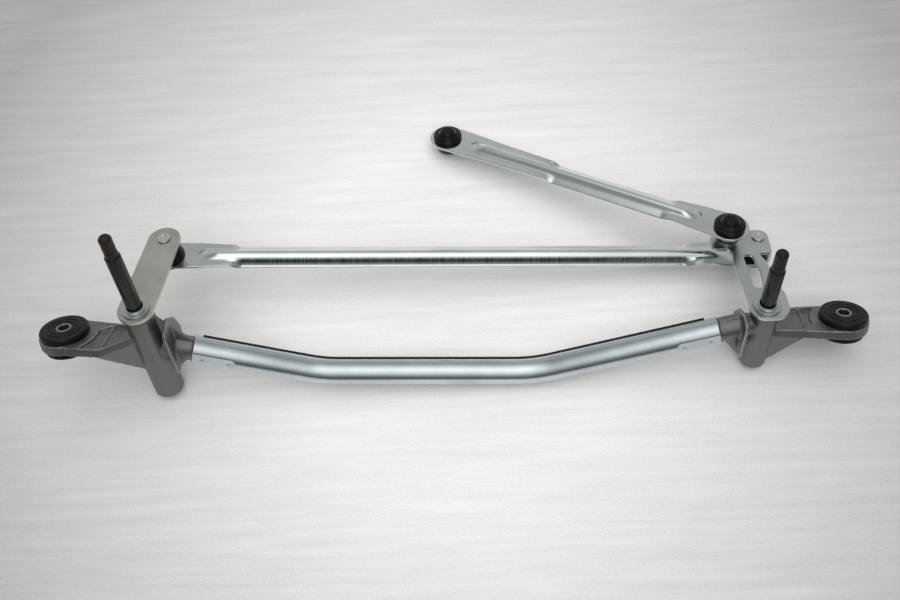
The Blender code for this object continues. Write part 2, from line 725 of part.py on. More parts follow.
def build_grommet(side, pivot, frame):
    """Mould the rubber grommet in the eye of one arm, and its steel spacer sleeve."""
    eye = LEFT_EYE if side == "left" else RIGHT_EYE
    place = (Matrix.Translation(pivot) @ shift(0.0, 0.0, -ARM_DROP)
             @ Matrix.Rotation(-ARM_LEAN, 4, "X")
             @ shift(eye.x, eye.y, -ARM_THICKNESS / 2.0))
    rest = ARM_THICKNESS / 2.0 + 0.0004 + SEAT_GAP
    top = rest + GROMMET_FLANGE
    crown = top + GROMMET_CROWN_HEIGHT
    inner = SPACER_RADIUS + SEAT_GAP
    profile = [
        (inner, crown), (GROMMET_CROWN_RADIUS - 0.0008, crown), (GROMMET_CROWN_RADIUS, crown - 0.0007),
        (GROMMET_CROWN_RADIUS + 0.0004, top), (GROMMET_RADIUS - 0.0012, top),
        (GROMMET_RADIUS, top - 0.0014), (GROMMET_RADIUS, rest), (GROMMET_WAIST_RADIUS, rest),
        (GROMMET_WAIST_RADIUS, -rest), (GROMMET_LOWER_RADIUS, -rest),
        (GROMMET_LOWER_RADIUS, -top + 0.0014),
        (GROMMET_LOWER_RADIUS - 0.0012, -top), (inner, -top),
    ]
    turned(f"{side}_grommet", profile, RUBBER, frame, place, closed=True)
    ring(f"{side}_spacer_sleeve", SPACER_BORE_RADIUS, SPACER_RADIUS, -top - SPACER_PROUD,
         crown - SPACER_SUNK, STEEL, frame, place)


def build_bearings(side, pivot, frame):
    """Add the two bushes and the O-ring that run on one spindle inside its sleeve."""
    foot = LEFT_SLEEVE_FOOT if side == "left" else RIGHT_SLEEVE_FOOT
    place = Matrix.Translation(pivot)
    inner = SPINDLE_RADIUS + SEAT_GAP
    outer = BORE_RADIUS - SEAT_GAP
    seal_middle = SLEEVE_TOP - SEAT_GAP - O_RING_SECTION_RADIUS - 0.0006
    seal_radius = (inner + outer) / 2.0
    section = circle_loop(Vector((seal_radius, seal_middle)), O_RING_SECTION_RADIUS, 6)
    section.reverse()
    turned(f"{side}_o_ring", [(p.x, p.y) for p in section], RUBBER, frame, place, closed=True,
           steps=SMALL_STEPS)
    bush_top = seal_middle - O_RING_SECTION_RADIUS - SEAT_GAP
    ring(f"{side}_upper_bush", inner, outer, bush_top - BUSH_LENGTH, bush_top, BRONZE, frame, place)
    seat = -foot + FOOT_BORE_DEPTH
    flange = seat - SEAT_GAP - 0.0012
    wide = FOOT_BORE_RADIUS - SEAT_GAP
    profile = [
        (outer, seat + BUSH_LENGTH), (outer, seat - SEAT_GAP), (wide, seat - SEAT_GAP),
        (wide, flange), (inner, flange), (inner, seat + BUSH_LENGTH),
    ]
    turned(f"{side}_lower_bush", profile, BRONZE, frame, place, closed=True, steps=SMALL_STEPS)
    return flange


def build_crank(side, rise, flange, crank):
    """Add the spindle of one crank with its rings, washers and circlip."""
    foot = LEFT_SLEEVE_FOOT if side == "left" else RIGHT_SLEEVE_FOOT
    inner = SPINDLE_RADIUS + SEAT_GAP
    washer_top = flange - SEAT_GAP
    washer_low = washer_top - WASHER_THICKNESS
    clip_top = washer_low - SEAT_GAP
    clip_low = clip_top - CIRCLIP_THICKNESS
    groove = SPINDLE_RADIUS - CIRCLIP_DEPTH
    tip = rise - SPINDLE_TIP_LENGTH
    end = -foot + SPINDLE_FOOT_RECESS
    profile = [
        (0.0, rise), (SPINDLE_TIP_RADIUS * 0.55, rise),
        (SPINDLE_TIP_RADIUS * 0.85, rise - 0.0009), (SPINDLE_TIP_RADIUS, rise - 0.0024),
        (SPINDLE_TIP_RADIUS, tip), (SPINDLE_RADIUS, tip - SPINDLE_SHOULDER),
        (SPINDLE_RADIUS, clip_top + SEAT_GAP / 2.0), (groove, clip_top + SEAT_GAP / 2.0),
        (groove, clip_low - SEAT_GAP / 2.0), (SPINDLE_RADIUS, clip_low - SEAT_GAP / 2.0),
        (SPINDLE_RADIUS, end + 0.0006), (SPINDLE_RADIUS - 0.0006, end), (0.0, end),
    ]
    turned(f"{side}_spindle", profile, BLACK_STEEL, crank)
    ring(f"{side}_foot_washer", inner, FOOT_BORE_RADIUS - SEAT_GAP, washer_low, washer_top,
         STEEL, crank)
    build_circlip(side, groove, clip_low, clip_top, crank)
    washer_outer = LEFT_SLEEVE_RADIUS - 0.0010 if side == "left" else RIGHT_SLEEVE_RADIUS - 0.0010
    washer_high = LEVER_UNDERSIDE - SEAT_GAP
    ring(f"{side}_thrust_washer", inner, washer_outer, washer_high - WASHER_THICKNESS, washer_high,
         STEEL, crank)
    low = SEAT_GAP
    step = low + LEVER_RING_HEIGHT
    neck = low + LEVER_RING_NECK_HEIGHT
    profile = [
        (LEVER_RING_RADIUS - 0.0006, step), (LEVER_RING_RADIUS, step - 0.0006),
        (LEVER_RING_RADIUS, low), (inner, low), (inner, neck),
        (LEVER_RING_NECK_RADIUS - 0.0008, neck), (LEVER_RING_NECK_RADIUS, neck - 0.0008),
        (LEVER_RING_NECK_RADIUS, step),
    ]
    turned(f"{side}_lever_ring", profile, ZINC, crank, closed=True)


def build_circlip(side, groove, low, high, crank):
    """Stamp an open retaining ring with two eyes for the spindle's groove."""
    inner = groove + SEAT_GAP
    outer = inner + CIRCLIP_WIDTH
    gap = math.radians(24.0)
    centre = Vector((0.0, 0.0))
    loop = arc(centre, outer, gap, math.tau - gap, 12)
    loop += list(reversed(arc(centre, inner, gap, math.tau - gap, 12)))
    plate(f"{side}_circlip", [loop], low, high, STEEL, crank)


def build_left_lever(crank):
    """Stamp the left lever: a flat strip with round ends."""
    outline = hull_loop(Vector((0.0, 0.0)), LEVER_NEAR_RADIUS, CRANK_ARM, LEVER_FAR_RADIUS)
    holes = [circle_loop(Vector((0.0, 0.0)), SPINDLE_RADIUS + SEAT_GAP),
             circle_loop(CRANK_ARM, STUD_NECK_RADIUS + SEAT_GAP)]
    plate("left_lever", [outline] + holes, LEVER_UNDERSIDE, 0.0, ZINC, crank)


def build_right_lever(crank):
    """Stamp the right lever: an open loop with one pad for each of its two ball studs."""
    stud, drive = CRANK_ARM, DRIVE_STUD_OFFSET
    pad, wide = LEVER_PAD_REACH, DRIVE_PAD_REACH
    left, right, front = LEVER_BAND_LEFT, LEVER_BAND_RIGHT, LEVER_HUB_FRONT
    notch = (stud + drive) / 2.0
    outline = rounded_loop([
        (Vector((-LEVER_HUB_LEFT, -front)), front * 0.9),
        (Vector((LEVER_HUB_RIGHT, -front)), front * 0.9),
        (Vector((LEVER_HUB_RIGHT, front * 0.85)), front),
        (Vector((right * 1.04, stud.y * 0.395)), front),
        (Vector((right * 0.96, stud.y * 0.605)), front),
        (Vector((stud.x - pad * 0.38, stud.y - pad * 2.08)), pad * 0.17),
        (Vector((stud.x + pad * 0.92, stud.y - pad * 2.12)), pad * 0.29),
        (Vector((stud.x + pad * 1.03, stud.y + pad)), pad * 0.95),
        (Vector((stud.x - pad * 0.92, stud.y + pad * 1.06)), pad * 0.55),
        (Vector((notch.x - pad * 0.06, notch.y + pad * 0.52)), pad * 0.35),
        (Vector((drive.x + pad * 1.02, drive.y + wide)), pad * 0.45),
        (Vector((drive.x - wide, drive.y + wide)), wide * 0.84),
        (Vector((drive.x - wide, drive.y - pad)), pad * 0.45),
        (Vector((drive.x + pad * 0.07, drive.y - pad)), pad * 0.35),
        (Vector((-left * 0.89, drive.y - pad * 1.75)), pad * 0.9),
        (Vector((-left * 1.03, drive.y * 0.63)), front),
        (Vector((-left * 0.90, drive.y * 0.30)), 0.0),
    ], 3)
    start = LEVER_WINDOW_START
    end = min(stud.y, drive.y) - LEVER_WINDOW_SETBACK
    width = LEVER_WINDOW_WIDTH
    window = rounded_loop([
        (Vector((-width * 0.64, start)), width * 0.33), (Vector((width * 0.22, start)), width * 0.31),
        (Vector((width * 0.38, (start + end) * 0.484)), width),
        (Vector((width * 0.04, end)), width * 0.31), (Vector((-width * 0.80, end)), width * 0.31),
        (Vector((-width * 0.71, (start + end) * 0.497)), 0.0),
    ], 3)
    hub = Vector((0.0, 0.0))
    holes = [circle_loop(hub, SPINDLE_RADIUS + SEAT_GAP),
             circle_loop(CRANK_ARM, STUD_NECK_RADIUS + SEAT_GAP),
             circle_loop(DRIVE_STUD_OFFSET, STUD_NECK_RADIUS + SEAT_GAP), window]
    plate("right_lever", [outline] + holes, LEVER_UNDERSIDE, 0.0, ZINC, crank)


def build_ball_stud(name, offset, upward, crank):
    """Turn a ball stud riveted into a lever, its ball below the plate or above it."""
    head = RIVET_HEIGHT + LEVER_THICKNESS + SEAT_GAP
    start = LEVER_THICKNESS + SEAT_GAP
    neck_angle = math.asin(STUD_NECK_RADIUS * 0.9 / BALL_RADIUS)
    collar = -SEAT_GAP - STUD_COLLAR_HEIGHT
    centre = -BALL_REACH
    profile = [
        (0.0, head), (RIVET_RADIUS - 0.0008, head), (RIVET_RADIUS, head - 0.0007),
        (RIVET_RADIUS, start), (STUD_NECK_RADIUS, start), (STUD_NECK_RADIUS, -SEAT_GAP),
        (STUD_COLLAR_RADIUS, -SEAT_GAP), (STUD_COLLAR_RADIUS, collar),
        (STUD_NECK_RADIUS, collar - 0.0006),
    ]
    steps = 6
    for k in range(steps + 1):
        angle = neck_angle + (math.pi - neck_angle) * k / steps
        radius = BALL_RADIUS * math.sin(angle)
        profile.append((0.0 if k == steps else radius, centre + BALL_RADIUS * math.cos(angle)))
    if upward:
        place = flat_place(offset, 0.0) @ Matrix.Rotation(math.pi, 4, "X")
    else:
        place = flat_place(offset, LEVER_UNDERSIDE)
    turned(name, profile, STEEL, crank, place, steps=SMALL_STEPS)


def flat_place(offset, height):
    """Return the move to a plan point at a height."""
    return shift(offset.x, offset.y, height)


def build_socket(prefix, rod, place):
    """Mould one ball socket, mouth downwards in its own frame, with its cap over the pad."""
    pad_low = ROD_PAD_REACH
    pad_high = pad_low + ROD_SHEET
    cavity = BALL_RADIUS + SOCKET_CLEARANCE
    shoulder = pad_low - SEAT_GAP
    plug_top = pad_high + SEAT_GAP
    mouth_angle = math.asin(SOCKET_MOUTH_RADIUS / cavity)
    throat = -cavity * math.cos(mouth_angle)
    roof_radius = 0.0040
    roof_angle = math.asin(roof_radius / cavity)
    profile = [
        (SOCKET_PLUG_RADIUS - 0.0002, plug_top), (SOCKET_PLUG_RADIUS - 0.0002, shoulder),
        (SOCKET_RADIUS, shoulder), (SOCKET_RADIUS, shoulder - 0.0014),
        (SOCKET_FOOT_RADIUS + 0.0003, -SOCKET_LIP + 0.0004), (SOCKET_FOOT_RADIUS, -SOCKET_LIP),
        (SOCKET_MOUTH_RADIUS + 0.0018, -SOCKET_LIP),
        (SOCKET_MOUTH_RADIUS, throat),
    ]
    steps = 5
    for k in range(1, steps + 1):
        angle = math.pi - mouth_angle - (math.pi - mouth_angle - roof_angle) * k / steps
        profile.append((cavity * math.sin(angle), cavity * math.cos(angle)))
    profile.append((roof_radius, plug_top))
    turned(f"{prefix}_socket", profile, NYLON, rod, place, closed=True, steps=SMALL_STEPS)
    base = plug_top + SEAT_GAP
    rim = base + CAP_HEIGHT * 0.32
    step = base + CAP_HEIGHT * 0.50
    top = base + CAP_HEIGHT
    hollow = roof_radius + 0.0014
    cap = [
        (0.0, top), (CAP_DOME_RADIUS * 0.25, top), (CAP_DOME_RADIUS * 0.70, top - 0.0012),
        (CAP_DOME_RADIUS, top - 0.0028), (CAP_DOME_RADIUS + 0.0004, step),
        (CAP_STEP_RADIUS - 0.0006, step), (CAP_STEP_RADIUS, step - 0.0008),
        (CAP_STEP_RADIUS + 0.0002, rim),
        (CAP_RADIUS - 0.0008, rim), (CAP_RADIUS, rim - 0.0008),
        (CAP_RADIUS, base), (hollow, base), (hollow, base + 0.0030), (0.0, base + 0.0030),
    ]
    turned(f"{prefix}_cap", cap, NYLON, rod, place, steps=SMALL_STEPS)


def rod_section(fold, ridge):
    """Return half of the sheet's line across a rod, from a flat strip to a folded roof.

    The strip keeps its developed width. Each of its short runs slopes down by the ridge's share
    of a round bead's angle plus the fold's share of the wing's angle.
    """
    y = z = 0.0
    points = [(y, z)]
    rise = 0.0
    for run, bead, wing in ROD_RUNS:
        angle = math.radians(bead * ridge + wing * fold)
        y += run * math.cos(angle)
        z -= run * math.sin(angle)
        rise += run * math.sin(math.radians(bead * ridge))
        points.append((y, z))
    return [(y, z + rise) for y, z in points]


def ease(value):
    """Smooth a share between 0 and 1."""
    value = min(max(value, 0.0), 1.0)
    return value * value * (3.0 - 2.0 * value)


def pad_stations(radius, pad_length):
    """Return the places of the rod's sections from its round end to past its fold."""
    round_end = [-radius * math.cos(math.radians(angle)) for angle in (8, 30, 52, 74)]
    flat_pad = [0.0, radius * 0.9, ROD_RIDGE_START]
    ridge = [ROD_RIDGE_START + ROD_RIDGE_GROWTH * share for share in (0.35, 0.7, 1.0)]
    fold = [pad_length + ROD_FOLD_LENGTH * share for share in (0.0, 0.3, 0.65, 1.0)]
    middle = [(ridge[-1] + pad_length) / 2.0] if pad_length - ridge[-1] > 0.02 else []
    return round_end + flat_pad + ridge + middle + fold


def pad_width(near, radius, pad_length):
    """Return half the developed width of a rod at a distance inward from its ball."""
    if near < 0.0:
        return math.sqrt(max(radius ** 2 - near ** 2, 0.0))
    share = min(near / pad_length, 1.0)
    return radius + (ROD_STRIP_HALF_WIDTH - radius) * share


def build_rod(name, length, radius, near_pad, far_pad, rod, place):
    """Press a link rod from one strip: round flat pads, a rising ridge and folded wings."""
    near_side = [(along, along, near_pad) for along in pad_stations(radius, near_pad)]
    far_side = [(length - along, along, far_pad) for along in pad_stations(radius, far_pad)]
    mesh = bpy.data.meshes.new(name)
    shape = bmesh.new()
    rows = []
    for along, near, pad_length in near_side + list(reversed(far_side)):
        fold = ease((near - pad_length) / ROD_FOLD_LENGTH)
        ridge = ease((near - ROD_RIDGE_START) / ROD_RIDGE_GROWTH)
        scale = pad_width(near, radius, pad_length) / ROD_STRIP_HALF_WIDTH
        half = [(y * scale, z) for y, z in rod_section(fold, ridge)]
        line = [(-y, z) for y, z in reversed(half[1:])] + half
        rows.append([shape.verts.new((along, y, z)) for y, z in line])
    for row_a, row_b in zip(rows, rows[1:]):
        for k in range(len(row_a) - 1):
            shape.faces.new((row_a[k], row_b[k], row_b[k + 1], row_a[k + 1]))
    shape.to_mesh(mesh)
    shape.free()
    obj = add_object(name, mesh, ZINC, rod, place)
    sheet = obj.modifiers.new("sheet", "SOLIDIFY")
    sheet.thickness = ROD_SHEET
    sheet.offset = 0.0
    sheet.use_even_offset = True
    for label, at in (("near", 0.0), ("far", length)):
        hole = rod_cutter(f"{name}_{label}_hole", SOCKET_PLUG_RADIUS + SEAT_GAP, -0.01, 0.01, rod,
                          place @ shift(at, 0.0, 0.0))
        combine(obj, hole, "DIFFERENCE")


def build_linkage():
    """Build every piece of the linkage on the bodies that carry it."""
    frame = add_empty("lying_pose", None, resting_matrix())
    build_tube(frame)
    flanges = {}
    for side, pivot in (("left", LEFT_PIVOT), ("right", RIGHT_PIVOT)):
        build_housing(side, pivot, frame)
        build_grommet(side, pivot, frame)
        flanges[side] = build_bearings(side, pivot, frame)

    left_crank = add_empty("left_crank_axis", frame, Matrix.Translation(LEFT_PIVOT))
    right_crank = add_empty("right_crank_axis", frame, Matrix.Translation(RIGHT_PIVOT))
    build_crank("left", LEFT_SPINDLE_RISE, flanges["left"], left_crank)
    build_crank("right", RIGHT_SPINDLE_RISE, flanges["right"], right_crank)
    build_left_lever(left_crank)
    build_right_lever(right_crank)
    build_ball_stud("left_ball_stud", CRANK_ARM, False, left_crank)
    build_ball_stud("right_ball_stud", CRANK_ARM, False, right_crank)
    build_ball_stud("drive_ball_stud", DRIVE_STUD_OFFSET, True, right_crank)

    left_ball = LEFT_PIVOT + flat(CRANK_ARM, ROD_BALL_LEVEL)
    right_ball = RIGHT_PIVOT + flat(CRANK_ARM, ROD_BALL_LEVEL)
    run = right_ball - left_ball
    lean = Matrix.Rotation(math.atan2(-run.z, run.x), 4, "Y")
    long_rod = add_empty("long_rod_axis", frame, Matrix.Translation(left_ball) @ lean)
    flip = Matrix.Rotation(math.pi, 4, "X")
    pad_middle = ROD_PAD_REACH + ROD_SHEET / 2.0
    build_rod("long_rod", run.length, LONG_ROD_PAD_RADIUS, LONG_ROD_PAD_LENGTH,
              LONG_ROD_PAD_LENGTH, long_rod, shift(0.0, 0.0, -pad_middle))
    build_socket("left_rod", long_rod, flip)
    build_socket("right_rod", long_rod, shift(run.length, 0.0, 0.0) @ flip)

    drive_ball = RIGHT_PIVOT + flat(DRIVE_STUD_OFFSET, LINK_BALL_LEVEL)
    free_ball = RIGHT_PIVOT + flat(SHORT_LINK_END, LINK_BALL_LEVEL)
    run = free_ball - drive_ball
    heading = Matrix.Rotation(math.atan2(run.y, run.x), 4, "Z")
    short_link = add_empty("short_link_axis", frame, Matrix.Translation(drive_ball) @ heading)
    build_rod("short_link", run.length, SHORT_LINK_PAD_RADIUS, DRIVE_PAD_LENGTH,
              FREE_PAD_LENGTH, short_link, shift(0.0, 0.0, pad_middle))
    build_socket("drive", short_link, Matrix())
    build_socket("motor", short_link, shift(run.length, 0.0, 0.0))
    settle(frame)


build_linkage()
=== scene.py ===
"""Looks of the wiper linkage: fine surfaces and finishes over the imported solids.

Each sub-assembly is a class. Its dataclass fields hold its sizes in metres, and its methods work
out its surfaces as numpy arrays and dress them. Finishes are frozen dataclasses.
"""

import json
import logging
import math
from dataclasses import dataclass, field
from enum import Enum

import bmesh
import bpy
import numpy as np
from mathutils import Matrix, Vector
from mathutils.geometry import tessellate_polygon


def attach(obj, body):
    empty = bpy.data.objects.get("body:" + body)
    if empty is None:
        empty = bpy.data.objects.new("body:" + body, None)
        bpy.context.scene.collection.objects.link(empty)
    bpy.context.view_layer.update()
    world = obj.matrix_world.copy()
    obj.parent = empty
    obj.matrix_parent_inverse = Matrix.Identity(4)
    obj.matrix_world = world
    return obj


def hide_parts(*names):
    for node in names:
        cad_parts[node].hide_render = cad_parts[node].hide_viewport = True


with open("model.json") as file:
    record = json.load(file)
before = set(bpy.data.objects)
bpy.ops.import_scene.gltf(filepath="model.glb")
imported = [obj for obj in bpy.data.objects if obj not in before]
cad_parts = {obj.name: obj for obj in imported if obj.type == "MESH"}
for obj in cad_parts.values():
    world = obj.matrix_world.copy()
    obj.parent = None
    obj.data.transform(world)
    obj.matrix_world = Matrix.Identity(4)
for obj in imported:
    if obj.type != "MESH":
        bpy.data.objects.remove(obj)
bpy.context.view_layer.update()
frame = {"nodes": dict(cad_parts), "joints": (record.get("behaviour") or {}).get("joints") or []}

LOG = logging.getLogger("wiper_linkage")
Array = np.ndarray
Mesh = bpy.types.Mesh
Socket = bpy.types.NodeSocket
Sockets = tuple[Socket, Socket, Socket]
Pair = tuple[float, float]
Triple = Colour = tuple[float, float, float]
Corners = list[tuple[float, ...]]

# The clearance between pieces that touch, and the length below which a vector has no direction.
GAP = 0.0003
TINY = 1e-12
# The angles of the points on a rounded edge.
QUARTER = np.radians([0.0, 30.0, 60.0, 90.0])


class Body(Enum):
    """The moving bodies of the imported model."""

    FRAME = "frame"
    LEFT_CRANK = "left_crank"
    RIGHT_CRANK = "right_crank"
    LONG_LINK = "long_link"
    DRIVE_LINK = "drive_link"


class Side(Enum):
    """The two ends of the linkage, as the photograph shows them."""

    LEFT = "left"
    RIGHT = "right"


# Outlines and surfaces


def unit(vectors: Array) -> Array:
    """Return vectors scaled to length one along the last axis."""
    return vectors / np.maximum(np.linalg.norm(vectors, axis=-1, keepdims=True), TINY)


def distances(line: Array) -> Array:
    """Return each point's distance from the first, along a line of points."""
    return np.concatenate([[0.0], np.cumsum(np.linalg.norm(np.diff(line, axis=0), axis=1))])


def ease(share: Array) -> Array:
    """Smooth shares between 0 and 1 with the curve 3t^2 - 2t^3."""
    share = np.clip(share, 0.0, 1.0)
    return share * share * (3.0 - 2.0 * share)


def filleted(corners: Corners, steps: int, closed: bool = True, margin: float = 0.0) -> Array:
    """Round the corners of an outline with arcs.

    Each arc has its centre on the corner's bisector, at radius / sin(half the corner's angle),
    and takes up less than half of the shorter side beside it.

    Args:
        corners: rows of x, y and fillet radius; without a radius the corner stays sharp.
        steps: the straight pieces of each arc.
        closed: whether the last corner joins the first.
        margin: a distance beyond each arc's ends where one more point keeps the flat flat.

    Returns:
        The outline's points, one row each.
    """
    places, points = np.array([corner[:2] for corner in corners], float), []
    for i, (_, _, *fillet) in enumerate(corners):
        corner = places[i]
        if not fillet or (not closed and i in (0, len(corners) - 1)):
            points.append(corner[None, :])
            continue
        before = places[i - 1] - corner
        after = places[(i + 1) % len(corners)] - corner
        room = 0.49 * min(np.linalg.norm(before), np.linalg.norm(after))
        before, after = unit(before), unit(after)
        half = math.acos(np.clip(before @ after, -1.0, 1.0)) / 2.0
        reach = min(fillet[0] / math.tan(half), room)
        radius = reach * math.tan(half)
        centre = corner + unit(before + after) * radius / math.sin(half)
        first = corner + before * reach - centre
        last = corner + after * reach - centre
        turn = math.atan2(first[0] * last[1] - first[1] * last[0], first @ last)
        angles = np.linspace(0.0, turn, steps + 1)
        x = first[0] * np.cos(angles) - first[1] * np.sin(angles)
        y = first[0] * np.sin(angles) + first[1] * np.cos(angles)
        bow = centre + np.stack([x, y], 1)
        if margin:
            extra = min(margin, (room - reach) * 0.5)
            bow = np.vstack([corner + before * (reach + extra), bow,
                             corner + after * (reach + extra)])
        points.append(bow)
    return np.vstack(points)


def arc(radius: float, angles: Array, centre: Pair = (0.0, 0.0)) -> Array:
    """Return points at angles: centre + radius (cos a, sin a)."""
    return np.array(centre) + radius * np.stack([np.cos(angles), np.sin(angles)], 1)


def linked(obj: bpy.types.Object) -> bpy.types.Object:
    """Link an object into the scene and return it."""
    bpy.context.scene.collection.objects.link(obj)
    return obj


def read(items: bpy.types.bpy_prop_collection, name: str, width: int, kind: type) -> Array:
    """Read one attribute of a mesh's vertices or edges, one row each."""
    values = np.empty(len(items) * width, kind)
    items.foreach_get(name, values)
    return values.reshape(-1, width)


def circle(radius: float, count: int, centre: Pair = (0.0, 0.0)) -> Array:
    """Return evenly spaced points on a circle."""
    return arc(radius, np.linspace(0.0, math.tau, count, endpoint=False), centre)


def revolved(profile: Array, steps: int) -> Array:
    """Turn a profile of (r, z) rows about Z: the point (i, j) is (r cos a, r sin a, z)."""
    angles = np.linspace(0.0, math.tau, steps, endpoint=False)
    radius, height = profile[:, :1], profile[:, 1:]
    return np.stack([radius * np.cos(angles), radius * np.sin(angles),
                     np.broadcast_to(height, (len(profile), steps))], 2)


def placed(points: Array, place: Array) -> Array:
    """Move points with a 4 x 4 matrix."""
    return points @ place[:3, :3].T + place[:3, 3]


def shifted(place: Array, x: float, y: float, z: float) -> Array:
    """Return a place moved along its own axes."""
    move = np.eye(4)
    move[:3, 3] = (x, y, z)
    return place @ move


def turned_about(place: Array, axis: str, angle: float) -> Array:
    """Return a place turned about one of its own axes, in radians."""
    return place @ np.array(Matrix.Rotation(angle, 4, axis))


def closed_mesh(name: str, points: Array, faces: list,
                weld: bool = True) -> Mesh:
    """Make one closed smooth mesh that faces out.

    Args:
        name: the mesh's name.
        points: its vertices, one row each.
        faces: its faces, as lists of vertex numbers.
        weld: whether points in one place, as at a pole, become one.

    Returns:
        The mesh, with its faces turned outwards.
    """
    mesh = bpy.data.meshes.new(name)
    mesh.from_pydata(points.reshape(-1, 3).tolist(), [], faces)
    shape = bmesh.new()
    shape.from_mesh(mesh)
    if weld:
        bmesh.ops.remove_doubles(shape, verts=shape.verts, dist=2e-6)
    bmesh.ops.recalc_face_normals(shape, faces=shape.faces)
    if shape.calc_volume(signed=True) < 0.0:
        bmesh.ops.reverse_faces(shape, faces=shape.faces)
    shape.to_mesh(mesh)
    shape.free()
    mesh.shade_smooth()
    return mesh


def skin_faces(rows: int, columns: int, wrap: bool, caps: bool) -> list:
    """Return the quads that join closed loops of points, and the two end caps.

    The quad (i, j) joins the points (i, j), (i, j + 1), (i + 1, j + 1) and (i + 1, j).
    """
    index = np.arange(rows * columns).reshape(rows, columns)
    low = index if wrap else index[:-1]
    high = np.roll(index, -1, 0) if wrap else index[1:]
    quads = np.stack([low, np.roll(low, -1, 1), np.roll(high, -1, 1), high], -1)
    faces = quads.reshape(-1, 4).tolist()
    if caps:
        faces += [index[0][::-1].tolist(), index[-1].tolist()]
    return faces


def skinned(name: str, loops: Array, wrap: bool = False,
            caps: bool = False) -> Mesh:
    """Join rows of closed loops into one closed skin, as skin_faces says."""
    return closed_mesh(name, loops, skin_faces(*loops.shape[:2], wrap, caps))


def turned(name: str, place: Array, corners: Corners, steps: int, bows: int = 4,
           hollow: bool = True, margin: float = 0.0001, more: Array | None = None) -> Mesh:
    """Turn a body on a lathe.

    Args:
        name: the mesh's name.
        place: its place; the lathe's axis is Z.
        corners: its section, as rows of radius, height and fillet radius.
        steps: the number of sections round the axis.
        bows: the straight pieces of each fillet.
        hollow: whether the section closes on itself, and doesn't end on the axis.
        margin: as for filleted.
        more: points that carry on the section after its last corner.

    Returns:
        The closed mesh.
    """
    section = filleted(corners, bows, True, margin)
    if more is not None:
        section = np.vstack([section, more])
    return skinned(name, placed(revolved(section, steps), place), wrap=hollow)


def stamped_plate(name: str, loops: list[Array], low: float, high: float,
                  edge: float, place: Array) -> Mesh:
    """Make a flat plate with rolled edges round its outline and holes.

    Every loop is carried round the edge: its points move inwards along the outline's normal by
    edge (1 - sin a) while the height runs from the face to the wall by edge (1 - cos a).

    Args:
        name: the mesh's name.
        loops: the outline first, then the holes.
        low: the underside's height.
        high: the top's height.
        edge: the radius of the rolled edge.
        place: the plate's place.

    Returns:
        The closed mesh.
    """
    points, faces, top, bottom, start = [], [], [], [], 0
    inset, drop = edge * (1.0 - np.sin(QUARTER)), edge * (1.0 - np.cos(QUARTER))
    flat = [edge * 1.6]
    inset = np.concatenate([flat, inset, inset[::-1], flat])
    height = np.concatenate([[high], high - drop, low + drop[::-1], [low]])
    for number, loop in enumerate(loops):
        area = np.sum(loop[:, 0] * np.roll(loop[:, 1], -1) - loop[:, 1] * np.roll(loop[:, 0], -1))
        if (area < 0.0) == (number == 0):
            loop = loop[::-1]
        run = unit(np.roll(loop, -1, 0) - loop)
        side = np.stack([-run[:, 1], run[:, 0]], 1)
        normal = unit(side + np.roll(side, 1, 0))
        rings = loop[None] + normal[None] * inset[:, None, None]
        solid = np.concatenate([rings, np.broadcast_to(height[:, None, None],
                                                       (*rings.shape[:2], 1))], 2)
        count = len(loop)
        faces += [[start + v for v in face]
                  for face in skin_faces(len(inset), count, False, False)]
        points.append(solid.reshape(-1, 3))
        top.append((start, solid[0]))
        bottom.append((start + (len(inset) - 1) * count, solid[-1]))
        start += len(inset) * count
    for level in (top, bottom):
        numbers = np.concatenate([np.arange(first, first + len(ring)) for first, ring in level])
        triangles = tessellate_polygon([[Vector(p) for p in ring] for _, ring in level])
        faces += [[int(numbers[v]) for v in triangle] for triangle in triangles]
    return closed_mesh(name, placed(np.vstack(points), place), faces)


# Finishes


